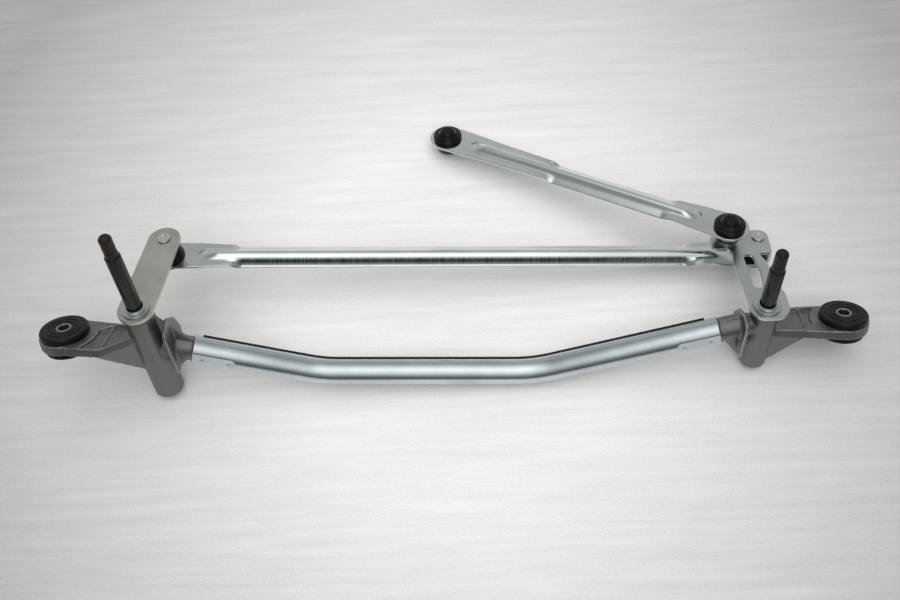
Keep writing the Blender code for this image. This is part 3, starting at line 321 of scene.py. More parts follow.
class Tree:
    """The nodes of one material or group, added and joined by short calls."""

    def __init__(self, tree: bpy.types.NodeTree) -> None:
        """Keep the tree that the nodes go into."""
        self.tree = tree

    def node(self, kind: str, inputs: dict | None = None, **settings) -> bpy.types.Node:
        """Add a node.

        Args:
            kind: the node's type.
            inputs: its sockets by name or number, each with a value or another node's output.
            settings: the node's own settings.

        Returns:
            The node.
        """
        made = self.tree.nodes.new(kind)
        for key, value in settings.items():
            setattr(made, key, value)
        for key, value in (inputs or {}).items():
            if isinstance(value, Socket):
                self.tree.links.new(value, made.inputs[key])
            else:
                made.inputs[key].default_value = value
        return made

    def noise(self, vector: Socket, scale: float, detail: float = 2.0,
              rough: float = 0.5) -> Socket:
        """Add a noise texture and return its value."""
        inputs = {"Vector": vector, "Scale": scale, "Detail": detail, "Roughness": rough}
        return self.node("ShaderNodeTexNoise", inputs).outputs[0]

    def streaks(self, vector: Socket, scale: Triple, detail: float,
                rough: float, turn: float = 0.0) -> Socket:
        """Add a noise texture with a scale for each axis, turned about Z, and return its value."""
        inputs = {"Vector": vector, "Scale": scale, "Rotation": (0.0, 0.0, turn)}
        return self.noise(self.node("ShaderNodeMapping", inputs).outputs[0], 1.0, detail, rough)

    def mix(self, share: Socket, first: Colour | Socket, second: Colour | Socket) -> Socket:
        """Mix two colours, or sockets of colours, by a share."""
        first, second = ((*colour, 1.0) if isinstance(colour, tuple) else colour
                         for colour in (first, second))
        inputs = {0: share, 6: first, 7: second}
        return self.node("ShaderNodeMix", inputs, data_type="RGBA").outputs[2]

    def remap(self, value: Socket, low: float, high: float, to_low: float = 0.0,
              to_high: float = 1.0) -> Socket:
        """Spread a value from one range to another, clamped."""
        inputs = {0: value, 1: low, 2: high, 3: to_low, 4: to_high}
        return self.node("ShaderNodeMapRange", inputs).outputs[0]

    def math(self, operation: str, first: Socket | float, second: Socket | float = 0.0) -> Socket:
        """Add one operation on two values."""
        return self.node("ShaderNodeMath", {0: first, 1: second}, operation=operation).outputs[0]

    def blend(self, first: Socket, much: float, second: Socket, little: float) -> Socket:
        """Return first * much + second * little."""
        return self.math("ADD", self.math("MULTIPLY", first, much),
                         self.math("MULTIPLY", second, little))

    def attribute(self, name: str) -> Socket:
        """Return one of the mesh's own masks."""
        return self.node("ShaderNodeAttribute", attribute_name=name).outputs["Fac"]

    def group(self, name: str, vector: Socket) -> bpy.types.Node:
        """Add one of the shared effects, fed with a vector."""
        made = self.node("ShaderNodeGroup", node_tree=bpy.data.node_groups[name])
        self.tree.links.new(vector, made.inputs["Vector"])
        return made

    def give(self, **values: Socket) -> None:
        """Make a group's outputs and feed each with its value."""
        for name in values:
            self.tree.interface.new_socket(name, in_out="OUTPUT", socket_type="NodeSocketFloat")
        self.node("NodeGroupOutput", values)


class Effects:
    """The shared surface effects, as node groups that give only masks and heights."""

    PLATING = "plating_tone"
    ROLLED = "rolled_lines"
    CAST_SKIN = "cast_skin"
    NICKS = "handling_nicks"
    MOULDED = "moulded_skin"

    @staticmethod
    def start(name: str) -> tuple[Tree, Socket]:
        """Make an empty group with a vector input, and return its tree and its vector."""
        group = bpy.data.node_groups.new(name, "ShaderNodeTree")
        group.interface.new_socket("Vector", in_out="INPUT", socket_type="NodeSocketVector")
        tree = Tree(group)
        return tree, tree.node("NodeGroupInput").outputs["Vector"]

    def make(self) -> None:
        """Make every group once."""
        for effect in (self.plating, self.rolled, self.cast_skin, self.nicks, self.moulded):
            effect()

    def plating(self) -> None:
        """Clouds of slightly different zinc tone, over a finer mottle."""
        tree, vector = self.start(self.PLATING)
        cloud = tree.noise(vector, 28.0, 4.0, 0.55)
        tree.give(Cloud=tree.remap(cloud, 0.35, 0.65), Mottle=tree.noise(vector, 1900.0, 2.0, 0.6))

    def rolled(self) -> None:
        """Fine lines along the local X axis, from rolling or drawing."""
        tree, vector = self.start(self.ROLLED)
        tree.give(Lines=tree.streaks(vector, (14.0, 900.0, 900.0), 3.0, 0.65))

    def cast_skin(self) -> None:
        """The die's fine skin, with broad flow marks."""
        tree, vector = self.start(self.CAST_SKIN)
        flow = tree.streaks(vector, (60.0, 95.0, 38.0), 4.0, 0.62)
        tree.give(Grain=tree.noise(vector, 1500.0, 3.0, 0.7), Flow=tree.remap(flow, 0.32, 0.68))

    def nicks(self) -> None:
        """Sparse small dents from handling, in one of seven cells of a Voronoi pattern."""
        tree, vector = self.start(self.NICKS)
        cells = tree.node("ShaderNodeTexVoronoi", {"Vector": vector, "Scale": 190.0})
        near = tree.remap(cells.outputs["Distance"], 0.05, 0.16, 1.0, 0.0)
        chosen = tree.node("ShaderNodeSeparateColor", {0: cells.outputs["Color"]})
        picked = tree.math("GREATER_THAN", chosen.outputs[0], 0.86)
        tree.give(Nick=tree.math("MULTIPLY", near, picked))

    def moulded(self) -> None:
        """The dull skin of moulded rubber and plastic, with a little dust."""
        tree, vector = self.start(self.MOULDED)
        dust = tree.noise(vector, 260.0, 4.0, 0.7)
        tree.give(Skin=tree.noise(vector, 2400.0), Dust=tree.remap(dust, 0.55, 0.78))


@dataclass(frozen=True)
class Finish:
    """A finish of one material slot: its two tones, its roughness and its relief."""

    slot: str
    light: Colour
    dark: Colour
    smooth: float
    rough: float
    metallic: float = 1.0
    bump: float = 0.15
    coat: float = 0.0
    specular: float = 0.5
    depth: float = 0.0001

    def material(self, name: str, place: Array) -> bpy.types.Material:
        """Make a material for one piece.

        Args:
            name: the material's name.
            place: the piece's place; the pattern lies along its X axis.

        Returns:
            The material.
        """
        material = bpy.data.materials.new(name)
        material.use_nodes = True
        tree = Tree(material.node_tree)
        shader = material.node_tree.nodes["Principled BSDF"]
        for socket, value in (("Metallic", self.metallic), ("Coat Weight", self.coat),
                              ("Specular IOR Level", self.specular)):
            shader.inputs[socket].default_value = value
        inverse = Matrix(np.linalg.inv(place).tolist())
        own = tree.node("ShaderNodeTexCoord").outputs["Object"]
        turned = tree.node("ShaderNodeMapping", {
            "Vector": own, "Rotation": inverse.to_euler(), "Location": inverse.to_translation()})
        colour, rough, height = self.pattern(tree, turned.outputs[0])
        bump = tree.node("ShaderNodeBump", {"Height": height, "Strength": self.bump,
                                            "Distance": self.depth})
        for socket, value in (("Base Color", colour), ("Roughness", rough),
                              ("Normal", bump.outputs[0])):
            material.node_tree.links.new(value, shader.inputs[socket])
        return material

    def pattern(self, tree: Tree, vector: Socket) -> Sockets:
        """Return the finish's colour, roughness and height."""
        raise NotImplementedError


@dataclass(frozen=True)
class PlatedSteel(Finish):
    """Zinc plate on rolled steel: pale tone clouds, rolling lines and a few nicks, plus painted
    shade in a tool-mark groove and a painted dark reflection on a rod's front wall.
    """

    depth: float = 0.00012
    lines: float = 0.5
    mottle: float = 0.4
    nicks: float = 0.25
    # Near-black painted shade for the tool-mark groove.
    crease: Colour = (0.03, 0.032, 0.032)
    # Two tones of a streaked painted dark reflection, for a rod's front wall.
    painted_reflection_dark: Colour = (0.05, 0.057, 0.06)
    painted_reflection_light: Colour = (0.34, 0.37, 0.385)

    def pattern(self, tree: Tree, vector: Socket) -> Sockets:
        """Return the finish's colour, roughness and height."""
        plating = tree.group(Effects.PLATING, vector)
        lines = tree.group(Effects.ROLLED, vector).outputs["Lines"]
        nick = tree.group(Effects.NICKS, vector).outputs["Nick"]
        mottle = plating.outputs["Mottle"]
        tone = tree.blend(plating.outputs["Cloud"], 0.55, lines, 0.45)
        colour = tree.mix(tone, self.dark, self.light)
        # Painted shade: the tool-mark groove goes near black.
        colour = tree.mix(tree.attribute("crease"), colour, self.crease)
        # Painted reflection: a streaked dark band over a rod's front wall, where its mask says.
        painted_streaks = tree.remap(tree.streaks(vector, (620.0, 55.0, 55.0), 3.0, 0.65), 0.36, 0.64)
        painted_reflection_colour = tree.mix(painted_streaks, self.painted_reflection_dark, self.painted_reflection_light)
        colour = tree.mix(tree.math("MULTIPLY", tree.attribute("scuff"), 0.9), colour, painted_reflection_colour)
        rough = tree.blend(mottle, 0.5, lines, 0.5)
        rough = tree.remap(rough, 0.3, 0.7, self.smooth, self.rough)
        height = tree.blend(lines, self.lines, mottle, self.mottle)
        return colour, rough, tree.blend(height, 1.0, nick, -self.nicks)


@dataclass(frozen=True)
class CastMetal(Finish):
    """Die-cast aluminium: a fine satin skin with flow marks, and a painted highlight on its rounded
    edges.
    """

    depth: float = 0.00022
    nicks: float = 0.7
    # The painted highlight's colour on the rounded edges.
    painted_light: Colour = (0.78, 0.78, 0.77)

    def pattern(self, tree: Tree, vector: Socket) -> Sockets:
        """Return the finish's colour, roughness and height."""
        skin = tree.group(Effects.CAST_SKIN, vector)
        nick = tree.group(Effects.NICKS, vector).outputs["Nick"]
        flow, grain = skin.outputs["Flow"], skin.outputs["Grain"]
        colour = tree.mix(tree.blend(flow, 0.7, grain, 0.3), self.dark, self.light)
        # Painted highlight: the rounded outer edges are mixed towards a bright colour.
        edge = tree.math("MULTIPLY", tree.attribute("edge"), 0.8)
        colour = tree.mix(edge, colour, self.painted_light)
        rough = tree.remap(flow, 0.0, 1.0, self.smooth, self.rough)
        return colour, rough, tree.blend(grain, 1.0, nick, -self.nicks)


@dataclass(frozen=True)
class BlackPhosphate(Finish):
    """Oiled black phosphate on turned steel: brownish clouds and fine turning rings."""

    def pattern(self, tree: Tree, vector: Socket) -> Sockets:
        """Return the finish's colour, roughness and height."""
        cloud = tree.group(Effects.PLATING, vector)
        colour = tree.mix(cloud.outputs["Cloud"], self.dark, self.light)
        rough = tree.remap(cloud.outputs["Mottle"], 0.3, 0.7, self.smooth, self.rough)
        return colour, rough, tree.streaks(vector, (30.0, 30.0, 2600.0), 2.0, 0.6)


@dataclass(frozen=True)
class TurnedMetal(Finish):
    """Bare turned steel or bronze, with fine rings about the local Z axis."""

    depth: float = 0.00006

    def pattern(self, tree: Tree, vector: Socket) -> Sockets:
        """Return the finish's colour, roughness and height."""
        cloud = tree.group(Effects.PLATING, vector).outputs["Cloud"]
        parts = tree.node("ShaderNodeSeparateXYZ", {0: vector})
        flat = tree.node("ShaderNodeCombineXYZ", {0: parts.outputs[0], 1: parts.outputs[1]})
        radius = tree.node("ShaderNodeVectorMath", {0: flat.outputs[0]}, operation="LENGTH")
        ring = tree.node("ShaderNodeCombineXYZ", {0: radius.outputs["Value"],
                                                  2: parts.outputs[2]})
        lines = tree.noise(ring.outputs[0], 3200.0, 2.0, 0.6)
        rough = tree.remap(lines, 0.3, 0.7, self.smooth, self.rough)
        return tree.mix(cloud, self.dark, self.light), rough, lines


@dataclass(frozen=True)
class Moulded(Finish):
    """Moulded rubber or plastic, with a fine skin and a trace of dust."""

    depth: float = 0.00008
    dust: float = 0.25
    dust_tone: Colour = (0.12, 0.115, 0.11)

    def pattern(self, tree: Tree, vector: Socket) -> Sockets:
        """Return the finish's colour, roughness and height."""
        skin = tree.group(Effects.MOULDED, vector)
        colour = tree.mix(skin.outputs["Skin"], self.dark, self.light)
        share = tree.math("MULTIPLY", skin.outputs["Dust"], self.dust)
        rough = tree.remap(skin.outputs["Dust"], 0.0, 1.0, self.smooth, self.rough)
        return tree.mix(share, colour, self.dust_tone), rough, skin.outputs["Skin"]


ZINC = PlatedSteel("zinc_plate", (0.66, 0.71, 0.70), (0.50, 0.54, 0.53), 0.26, 0.38)
# A darker, yellower copy of the zinc, for the left lever.
LEFT_LEVER_ZINC = PlatedSteel("zinc_plate", (0.69, 0.72, 0.66), (0.44, 0.455, 0.39), 0.28, 0.42)
ROD_ZINC = PlatedSteel("zinc_plate", (0.76, 0.80, 0.80), (0.60, 0.64, 0.64), 0.12, 0.23)
TUBE_ZINC = PlatedSteel("tube_zinc", (0.67, 0.73, 0.75), (0.46, 0.52, 0.54), 0.18, 0.26,
                        bump=0.06, nicks=0.1)
CAST = CastMetal("cast_aluminium", (0.255, 0.246, 0.238), (0.165, 0.159, 0.154), 0.34, 0.50,
                 metallic=0.88, bump=0.24)
PHOSPHATE = BlackPhosphate("black_steel", (0.022, 0.016, 0.012), (0.007, 0.0055, 0.005), 0.15,
                           0.30, metallic=0.0, bump=0.25, specular=0.24)
STEEL = TurnedMetal("bright_steel", (0.76, 0.77, 0.77), (0.62, 0.63, 0.64), 0.18, 0.34)
# Painted shade: a darker copy of the bright steel, for the spacer sleeves.
SHADED_SLEEVE_STEEL = TurnedMetal("bright_steel", (0.40, 0.40, 0.40), (0.26, 0.26, 0.26), 0.28, 0.45)
BRONZE = TurnedMetal("sintered_bronze", (0.58, 0.40, 0.22), (0.42, 0.28, 0.15), 0.38, 0.55,
                     metallic=0.9)
RUBBER = Moulded("black_rubber", (0.008, 0.008, 0.0085), (0.0035, 0.0035, 0.004), 0.32, 0.50,
                 metallic=0.0, bump=0.3, specular=0.22, dust=0.06)
NYLON = Moulded("black_nylon", (0.005, 0.005, 0.0055), (0.0025, 0.0025, 0.0027), 0.16, 0.30,
                metallic=0.0, bump=0.12, coat=0.15, specular=0.18, dust=0.03)


# Places and pieces


@dataclass(frozen=True)
class Sizes:
    """The sizes that more than one sub-assembly shares."""

    spacing: float = 0.501
    drop: float = 0.0344
    crank: float = 0.0767
    crank_angle: float = math.radians(7.4)
    lever: float = 0.0035
    ball_reach: float = 0.0133
    drive_stud: Pair = (-0.0178, 0.0730)
    link_end: Pair = (-0.2511, 0.2073)
    left_eye: Pair = (-0.0652, 0.0010)
    right_eye: Pair = (0.0691, 0.0063)
    arm_drop: float = 0.0270
    arm_lean: float = math.radians(17.2)
    arm: float = 0.0078

    def stud(self) -> Pair:
        """Return the place of a crank's ball stud in plan."""
        return (self.crank * math.sin(self.crank_angle), self.crank * math.cos(self.crank_angle))


class Layout:
    """The places of the linkage's moving frames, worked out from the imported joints."""

    def __init__(self, joints: list[dict], sizes: Sizes) -> None:
        """Read the two crank joints.

        Args:
            joints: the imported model's joints.
            sizes: the shared sizes.
        """
        by_name = {joint["name"]: joint for joint in joints}
        left, right = by_name["left_crank_turn"], by_name["right_crank_turn"]
        up = unit(np.array(left["axis"], float))
        origin = np.array(left["pos_m"], float)
        run = np.array(right["pos_m"], float) - origin
        across = unit(run - up * (run @ up))
        self.design = np.eye(4)
        self.design[:3, :3] = np.stack([across, np.cross(up, across), up], 1)
        self.design[:3, 3] = origin
        self.sizes = sizes

    def crank(self, side: Side) -> Array:
        """Return the frame of one crank, on its pivot and level with the lever's top."""
        if side is Side.LEFT:
            return self.design
        return shifted(self.design, self.sizes.spacing, 0.0, -self.sizes.drop)

    def eye(self, side: Side) -> Array:
        """Return the frame in the middle of one arm's eye."""
        x, y = self.sizes.left_eye if side is Side.LEFT else self.sizes.right_eye
        arm = shifted(self.crank(side), 0.0, 0.0, -self.sizes.arm_drop)
        return shifted(turned_about(arm, "X", -self.sizes.arm_lean), x, y, -self.sizes.arm / 2.0)

    def long_rod(self) -> tuple[Array, float]:
        """Return the frame of the long rod on its left ball, and its length."""
        x, y = self.sizes.stud()
        ball = shifted(self.design, x, y, -self.sizes.lever - self.sizes.ball_reach)
        lean = math.atan2(self.sizes.drop, self.sizes.spacing)
        return turned_about(ball, "Y", lean), math.hypot(self.sizes.spacing, self.sizes.drop)

    def short_link(self) -> tuple[Array, float]:
        """Return the frame of the short link on its driven ball, and its length."""
        start, end = np.array(self.sizes.drive_stud), np.array(self.sizes.link_end)
        ball = shifted(self.crank(Side.RIGHT), *start, self.sizes.ball_reach)
        run = end - start
        return turned_about(ball, "Z", math.atan2(run[1], run[0])), float(np.linalg.norm(run))


class Workshop:
    """Puts finished meshes into the scene, on their bodies and in their finishes."""

    def __init__(self, nodes: dict[str, bpy.types.Object]) -> None:
        """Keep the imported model's nodes."""
        self.nodes = nodes
        self.dressed: set[str] = set()

    def dress(self, mesh: Mesh, finish: Finish, place: Array, name: str) -> None:
        """Give a mesh one material, and that a name."""
        mesh.materials.clear()
        mesh.materials.append(finish.material(f"{name}_finish", place))

    def piece(self, mesh: Mesh, body: Body, finish: Finish, place: Array,
              *replaced: str) -> None:
        """Add one piece.

        Args:
            mesh: its finished mesh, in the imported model's frame.
            body: the body that it moves with.
            finish: its finish.
            place: its own frame, for the finish's pattern.
            replaced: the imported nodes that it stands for.
        """
        piece = linked(bpy.data.objects.new(mesh.name, mesh))
        self.dress(mesh, finish, place, mesh.name)
        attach(piece, body.value)
        if replaced:
            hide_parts(*replaced)
        self.dressed.update(replaced)
        LOG.info("%s rides on %s: %d faces", piece.name, body.value, len(mesh.polygons))

    def carry_over(self, finish: Finish, place: Array, *names: str) -> None:
        """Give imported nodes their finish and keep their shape."""
        for name in names:
            self.dress(self.nodes[name].data, finish, place, name)
            self.dressed.add(name)
            LOG.info("%s keeps its packed shape", name)


@dataclass
class RodPress:
    """A link rod pressed from one strip: flat round pads, a bead and two folded wings.

    Each run of the strip's half is its length with the slopes of the bead and of the wing, in
    degrees. The front wall has slopes of its own, at distances from the crest.
    """

    name: str
    length: float
    pad_radius: float
    near_pad: float
    far_pad: float
    sheet: float = 0.0020
    edge: float = 0.00055
    edge_slope: float = 27.0
    points: int = 44
    fold_length: float = 0.014
    fold_lag: float = 0.0045
    ridge_start: float = 0.026
    ridge_growth: float = 0.016
    pitch: float = 0.0005
    mark_at: Pair = (0.0040, 0.0002)
    mark_radius: float = 0.0052
    mark_width: float = 0.00070
    mark_turn: float = 0.75
    mark_depth: float = 0.00028
    scoop_depth: float = 0.0010
    scoop_at: Pair = (0.0035, -0.0086)
    scoop_size: Pair = (0.0050, 0.0024)
    # Where the painted dark reflection fades in and out across the front half of the strip, from
    # the crest.
    painted_reflection_start: Pair = (0.0042, 0.0014)
    painted_reflection_end: Pair = (0.0072, 0.0056)
    runs: tuple[Triple, ...] = (
        (0.0013, 10.0, 0.0), (0.0022, 30.0, 0.0), (0.0018, 40.0, 3.0), (0.0020, 17.0, 14.0),
        (0.0030, 0.0, 24.5), (0.0030, 0.0, 26.5))
    front_wall: tuple[Pair, ...] = ()

    def stations(self, pad: float) -> Array:
        """Return distances from one ball, from its pad's round end past its fold."""
        turn = np.radians(np.linspace(1.0, 90.0, 36))
        end = pad + self.fold_length
        return np.concatenate([-self.pad_radius * np.cos(turn),
                               np.linspace(0.0, self.ridge_start - 0.004, 12)[1:],
                               np.arange(self.ridge_start - 0.0036, end, self.pitch),
                               [end + 0.002]])

    def half_width(self, near: Array, pad: Array, strip: float) -> Array:
        """Half the strip's width: a circle round the ball, then a straight taper."""
        taper = self.pad_radius + (strip - self.pad_radius) * np.minimum(near / pad, 1.0)
        rounded = np.sqrt(np.maximum(self.pad_radius ** 2 - near ** 2, 0.0))
        return np.where(near < 0.0, rounded, taper)

    def half_line(self, slope: Array, step: float, rise: Array) -> tuple[Array, ...]:
        """Sum up half a section's line from its slopes in degrees; it starts at height rise."""
        slope = np.radians(slope)
        middle = (slope[:, 1:] + slope[:, :-1]) / 2.0
        start = np.zeros((len(slope), 1))
        y = np.concatenate([start, np.cumsum(np.cos(middle), 1) * step], 1)
        z = np.concatenate([start, np.cumsum(np.sin(middle), 1) * step], 1)
        return y, rise[:, None] - z

    def marks(self, near: Array, across: Array) -> Array:
        """A curved tool mark beside the bead's start: a narrow band on a quarter circle."""
        dx, dy = near - self.ridge_start - self.mark_at[0], across - self.mark_at[1]
        radius, angle = np.hypot(dx, dy), np.arctan2(dy, -dx)
        band = np.exp(-((radius - self.mark_radius) / self.mark_width) ** 2)
        window = np.clip(1.0 - np.abs(angle - self.mark_turn) / self.mark_turn, 0.0, 1.0)
        return band * np.sqrt(window)

    def surface(self, flip: float) -> tuple[Array, Array, Array]:
        """Work out the pressing.

        At each station the strip's line starts level at the bead's crest. Its slope is the bead's
        angle times the ridge's share plus the wing's angle times the fold's share, and its height
        is the running sum of the slope's sine. The two skins lie half a sheet each side.

        Args:
            flip: 1 where the tool marks lie on the positive side, -1 on the other.

        Returns:
            The closed sections, a mask of the tool mark's groove for its painted shade, and a mask
            of the painted dark reflection.
        """
        near_side, far_side = self.stations(self.near_pad), self.stations(self.far_pad)
        middle = np.linspace(near_side[-1], self.length - far_side[-1], 60)[1:-1]
        along = np.concatenate([near_side, middle, self.length - far_side[::-1]])
        near = np.minimum(along, self.length - along)
        pad = np.where(along < self.length / 2.0, self.near_pad, self.far_pad)
        runs = np.array(self.runs)
        edges = np.concatenate([[0.0], np.cumsum(runs[:, 0])])
        strip = edges[-1]
        middles = np.concatenate([[0.0], (edges[:-1] + edges[1:]) / 2.0, [strip]])
        half = np.linspace(0.0, strip, self.points)
        bead = np.interp(half, middles, np.concatenate([[0.0], runs[:, 1], [0.0]]))
        wing = np.interp(half, middles, np.concatenate([[0.0], runs[:, 2], [self.edge_slope]]))
        late = self.fold_lag * (1.0 - half / strip)
        ridge = ease((near - self.ridge_start) / self.ridge_growth)[:, None]
        fold = ease((near[:, None] - pad[:, None] - late + 0.0015) / (self.fold_length - 0.003))
        rise = np.sum(runs[:, 0] * np.sin(np.radians(runs[:, 1] * ridge)), 1)
        front = np.interp(half, *np.array(self.front_wall).T) if self.front_wall else wing
        front_y, front_z = self.half_line(bead * ridge + front * fold, half[1], rise)
        rear_y, rear_z = self.half_line(bead * ridge + wing * fold, half[1], rise)
        width = np.maximum(self.half_width(near, pad, strip) - self.edge, 0.0002)
        scale = (width / strip)[:, None]
        line_y = np.concatenate([-front_y[:, :0:-1], rear_y], 1) * scale
        line_z = np.concatenate([front_z[:, :0:-1], rear_z], 1)
        tangent = np.stack([np.gradient(line_y, axis=1), np.gradient(line_z, axis=1)], 2)
        tangent /= np.linalg.norm(tangent, axis=2, keepdims=True) + TINY
        normal = np.stack([-tangent[..., 1], tangent[..., 0]], 2)
        line = np.stack([line_y, line_z], 2)
        dent = self.marks(near[:, None], flip * line_y)
        scoop = (((near - pad - self.scoop_at[0]) / self.scoop_size[0])[:, None] ** 2
                 + ((line_y - self.scoop_at[1]) / self.scoop_size[1]) ** 2)
        line = line - normal * (self.scoop_depth * np.exp(-scoop))[..., None]
        skin = self.sheet / 2.0
        upper = line + normal * (skin - self.mark_depth * dent)[..., None]
        lower = line - normal * skin
        out = self.edge * np.cos(QUARTER[::-1])[None, :, None]
        lift = (skin - self.edge + self.edge * np.sin(QUARTER[::-1]))[None, :, None]
        far_top = line[:, -1:] + tangent[:, -1:] * out + normal[:, -1:] * lift
        far_low = (line[:, -1:] + tangent[:, -1:] * out - normal[:, -1:] * lift)[:, ::-1]
        near_low = line[:, :1] - tangent[:, :1] * out - normal[:, :1] * lift
        near_top = (line[:, :1] - tangent[:, :1] * out + normal[:, :1] * lift)[:, ::-1]
        section = np.concatenate([upper[:, 1:-1], far_top, far_low, lower[:, -2:0:-1], near_low,
                                  near_top], 1)
        crease, scuff = np.zeros((2, *section.shape[:2]))
        crease[:, :dent.shape[1] - 2] = dent[:, 1:-1]
        # Painted reflection: a dark band on the folded front wall, only on a rod with a front wall
        # of its own.
        if self.front_wall:
            start, end = (ease((half - place) / reach)
                          for place, reach in (self.painted_reflection_start, self.painted_reflection_end))
            painted_light = start * (1.0 - end)
            scuff[:, :self.points - 2] = (painted_light * fold)[:, -2:0:-1]
        x = np.broadcast_to(along[:, None, None], (*section.shape[:2], 1))
        return np.concatenate([x, section], 2), crease, scuff

    def mesh(self, place: Array, flip: float) -> Mesh:
        """Build the pressing's mesh at a place."""
        loops, crease, scuff = self.surface(flip)
        faces = skin_faces(*loops.shape[:2], False, True)
        mesh = closed_mesh(self.name, placed(loops, place), faces, weld=False)
        for name, values in (("crease", crease), ("scuff", scuff)):
            attribute = mesh.attributes.new(name, "FLOAT", "POINT")
            attribute.data.foreach_set("value", values.reshape(-1).astype(np.float32))
        return mesh


@dataclass
class BallJoint:
    """A ball stud, its moulded socket and the socket's cap."""

    ball: float = 0.0065
    neck: float = 0.0038
    collar: float = 0.0062
    rivet: float = 0.0055
    rivet_height: float = 0.0014
    socket: float = 0.0128
    socket_foot: float = 0.0098
    plug: float = 0.0090
    mouth: float = 0.0058
    lip: float = 0.0080
    pad_low: float = 0.0025
    sheet: float = 0.0020
    cap: float = 0.0130
    cap_step: float = 0.0112
    cap_dome: float = 0.0074
    cap_height: float = 0.0086

    def stud_mesh(self, name: str, place: Array, lever: float, reach: float) -> Mesh:
        """Turn the stud: a rivet head with a soft edge, a neck, a collar and a ball."""
        head, start = self.rivet_height + lever + GAP, lever + GAP
        low_neck = math.asin(self.neck * 0.9 / self.ball)
        angles = np.linspace(low_neck, math.pi, 28)
        ball = np.stack([self.ball * np.sin(angles), -reach + self.ball * np.cos(angles)], 1)
        return turned(name, place, [
            (0.0, head - 0.00035), (0.0022, head - 0.00035, 0.0006), (0.0028, head, 0.0008),
            (self.rivet, head, 0.0009), (self.rivet, start, 0.0002), (self.neck, start),
            (self.neck, -GAP), (self.collar, -GAP, 0.0003),
            (self.collar, -GAP - 0.0014, 0.0003), (self.neck, -GAP - 0.0020, 0.0003),
            (self.neck * 0.95, -reach + self.ball * math.cos(low_neck))],
            64, hollow=False, margin=0.00015, more=ball)

    def socket_mesh(self, name: str, place: Array) -> Mesh:
        """Turn the socket: a plug through the pad, a tapered cup and a slack ball seat."""
        cavity = self.ball + 0.0004
        top = self.pad_low + self.sheet + GAP
        shoulder = self.pad_low - GAP
        mouth = math.asin(self.mouth / cavity)
        roof = math.asin(0.0040 / cavity)
        angles = np.linspace(math.pi - mouth, roof, 20)[1:]
        seat = np.stack([cavity * np.sin(angles), cavity * np.cos(angles)], 1)
        return turned(name, place, [
            (0.0040, top), (self.plug, top, 0.0003), (self.plug, shoulder),
            (self.socket, shoulder, 0.0004), (self.socket, shoulder - 0.0014, 0.0006),
            (self.socket_foot + 0.0003, -self.lip + 0.0004, 0.0004),
            (self.socket_foot - 0.0002, -self.lip, 0.0004),
            (self.mouth + 0.0018, -self.lip, 0.0005),
            (self.mouth, -cavity * math.cos(mouth))], 80, margin=0.00012, more=seat)

    def cap_mesh(self, name: str, place: Array) -> Mesh:
        """Turn the cap: a base ring, a step, a round dome and a sunk nub in its middle."""
        base = self.pad_low + self.sheet + 2.0 * GAP
        rim, step = base + self.cap_height * 0.32, base + self.cap_height * 0.50
        top = base + self.cap_height
        dome, ledge = self.cap_dome, self.cap_step
        return turned(name, place, [
            (0.0, top - 0.0002), (0.0012, top - 0.0002, 0.0003),
            (0.0016, top - 0.0008, 0.0003), (0.0026, top - 0.0008, 0.0004),
            (0.0034, top - 0.0001, 0.0006),
            (dome - 0.0012, top - 0.0008, 0.0016), (dome + 0.0003, step + 0.0012, 0.0012),
            (dome + 0.0012, step + 0.0002, 0.0008), (ledge - 0.0004, step, 0.0009),
            (ledge + 0.0002, rim + 0.0003, 0.0005), (self.cap, rim - 0.0001, 0.0009),
            (self.cap, base, 0.0003), (0.0054, base), (0.0054, base + 0.0030),
            (0.0, base + 0.0030)], 96, 5, False, 0.00015)


@dataclass
class Links:
    """The two link rods with their ball sockets and caps."""

    layout: Layout
    joint: BallJoint = field(default_factory=BallJoint)

    def build(self, shop: Workshop) -> None:
        """Build both rods, dress them and report them."""
        joint = self.joint
        middle = joint.pad_low + joint.sheet / 2.0
        place, length = self.layout.long_rod()
        wall = ((0.0, 0.0), (0.0036, 0.0), (0.0053, 22.0), (0.0072, 66.0), (0.0112, 56.0),
                (0.0122, 22.0), (0.0133, 14.0))
        rod = RodPress("long_rod_pressing", length, pad_radius=0.0148, near_pad=0.051,
                       far_pad=0.051, front_wall=wall)
        sheet = shifted(place, 0.0, 0.0, -middle)
        shop.piece(rod.mesh(sheet, 1.0), Body.LONG_LINK, ROD_ZINC, sheet, "long_rod")
        self.ends(shop, place, length, math.pi, Body.LONG_LINK, ("left_rod", "right_rod"))
        place, length = self.layout.short_link()
        rod = RodPress("short_link_pressing", length, pad_radius=0.0162, near_pad=0.046,
                       far_pad=0.101)
        sheet = shifted(place, 0.0, 0.0, middle)
        shop.piece(rod.mesh(sheet, -1.0), Body.DRIVE_LINK, ROD_ZINC, sheet, "short_link")
        self.ends(shop, place, length, 0.0, Body.DRIVE_LINK, ("drive", "motor"))

    def ends(self, shop: Workshop, place: Array, length: float, flip: float, body: Body,
             names: tuple[str, str]) -> None:
        """Build the socket and cap at each end of one rod."""
        for name, along in zip(names, (0.0, length)):
            seat = turned_about(shifted(place, along, 0.0, 0.0), "X", flip)
            shop.piece(self.joint.socket_mesh(f"{name}_cup", seat), body, NYLON, seat,
                       f"{name}_socket")
            shop.piece(self.joint.cap_mesh(f"{name}_lid", seat), body, NYLON, seat, f"{name}_cap")


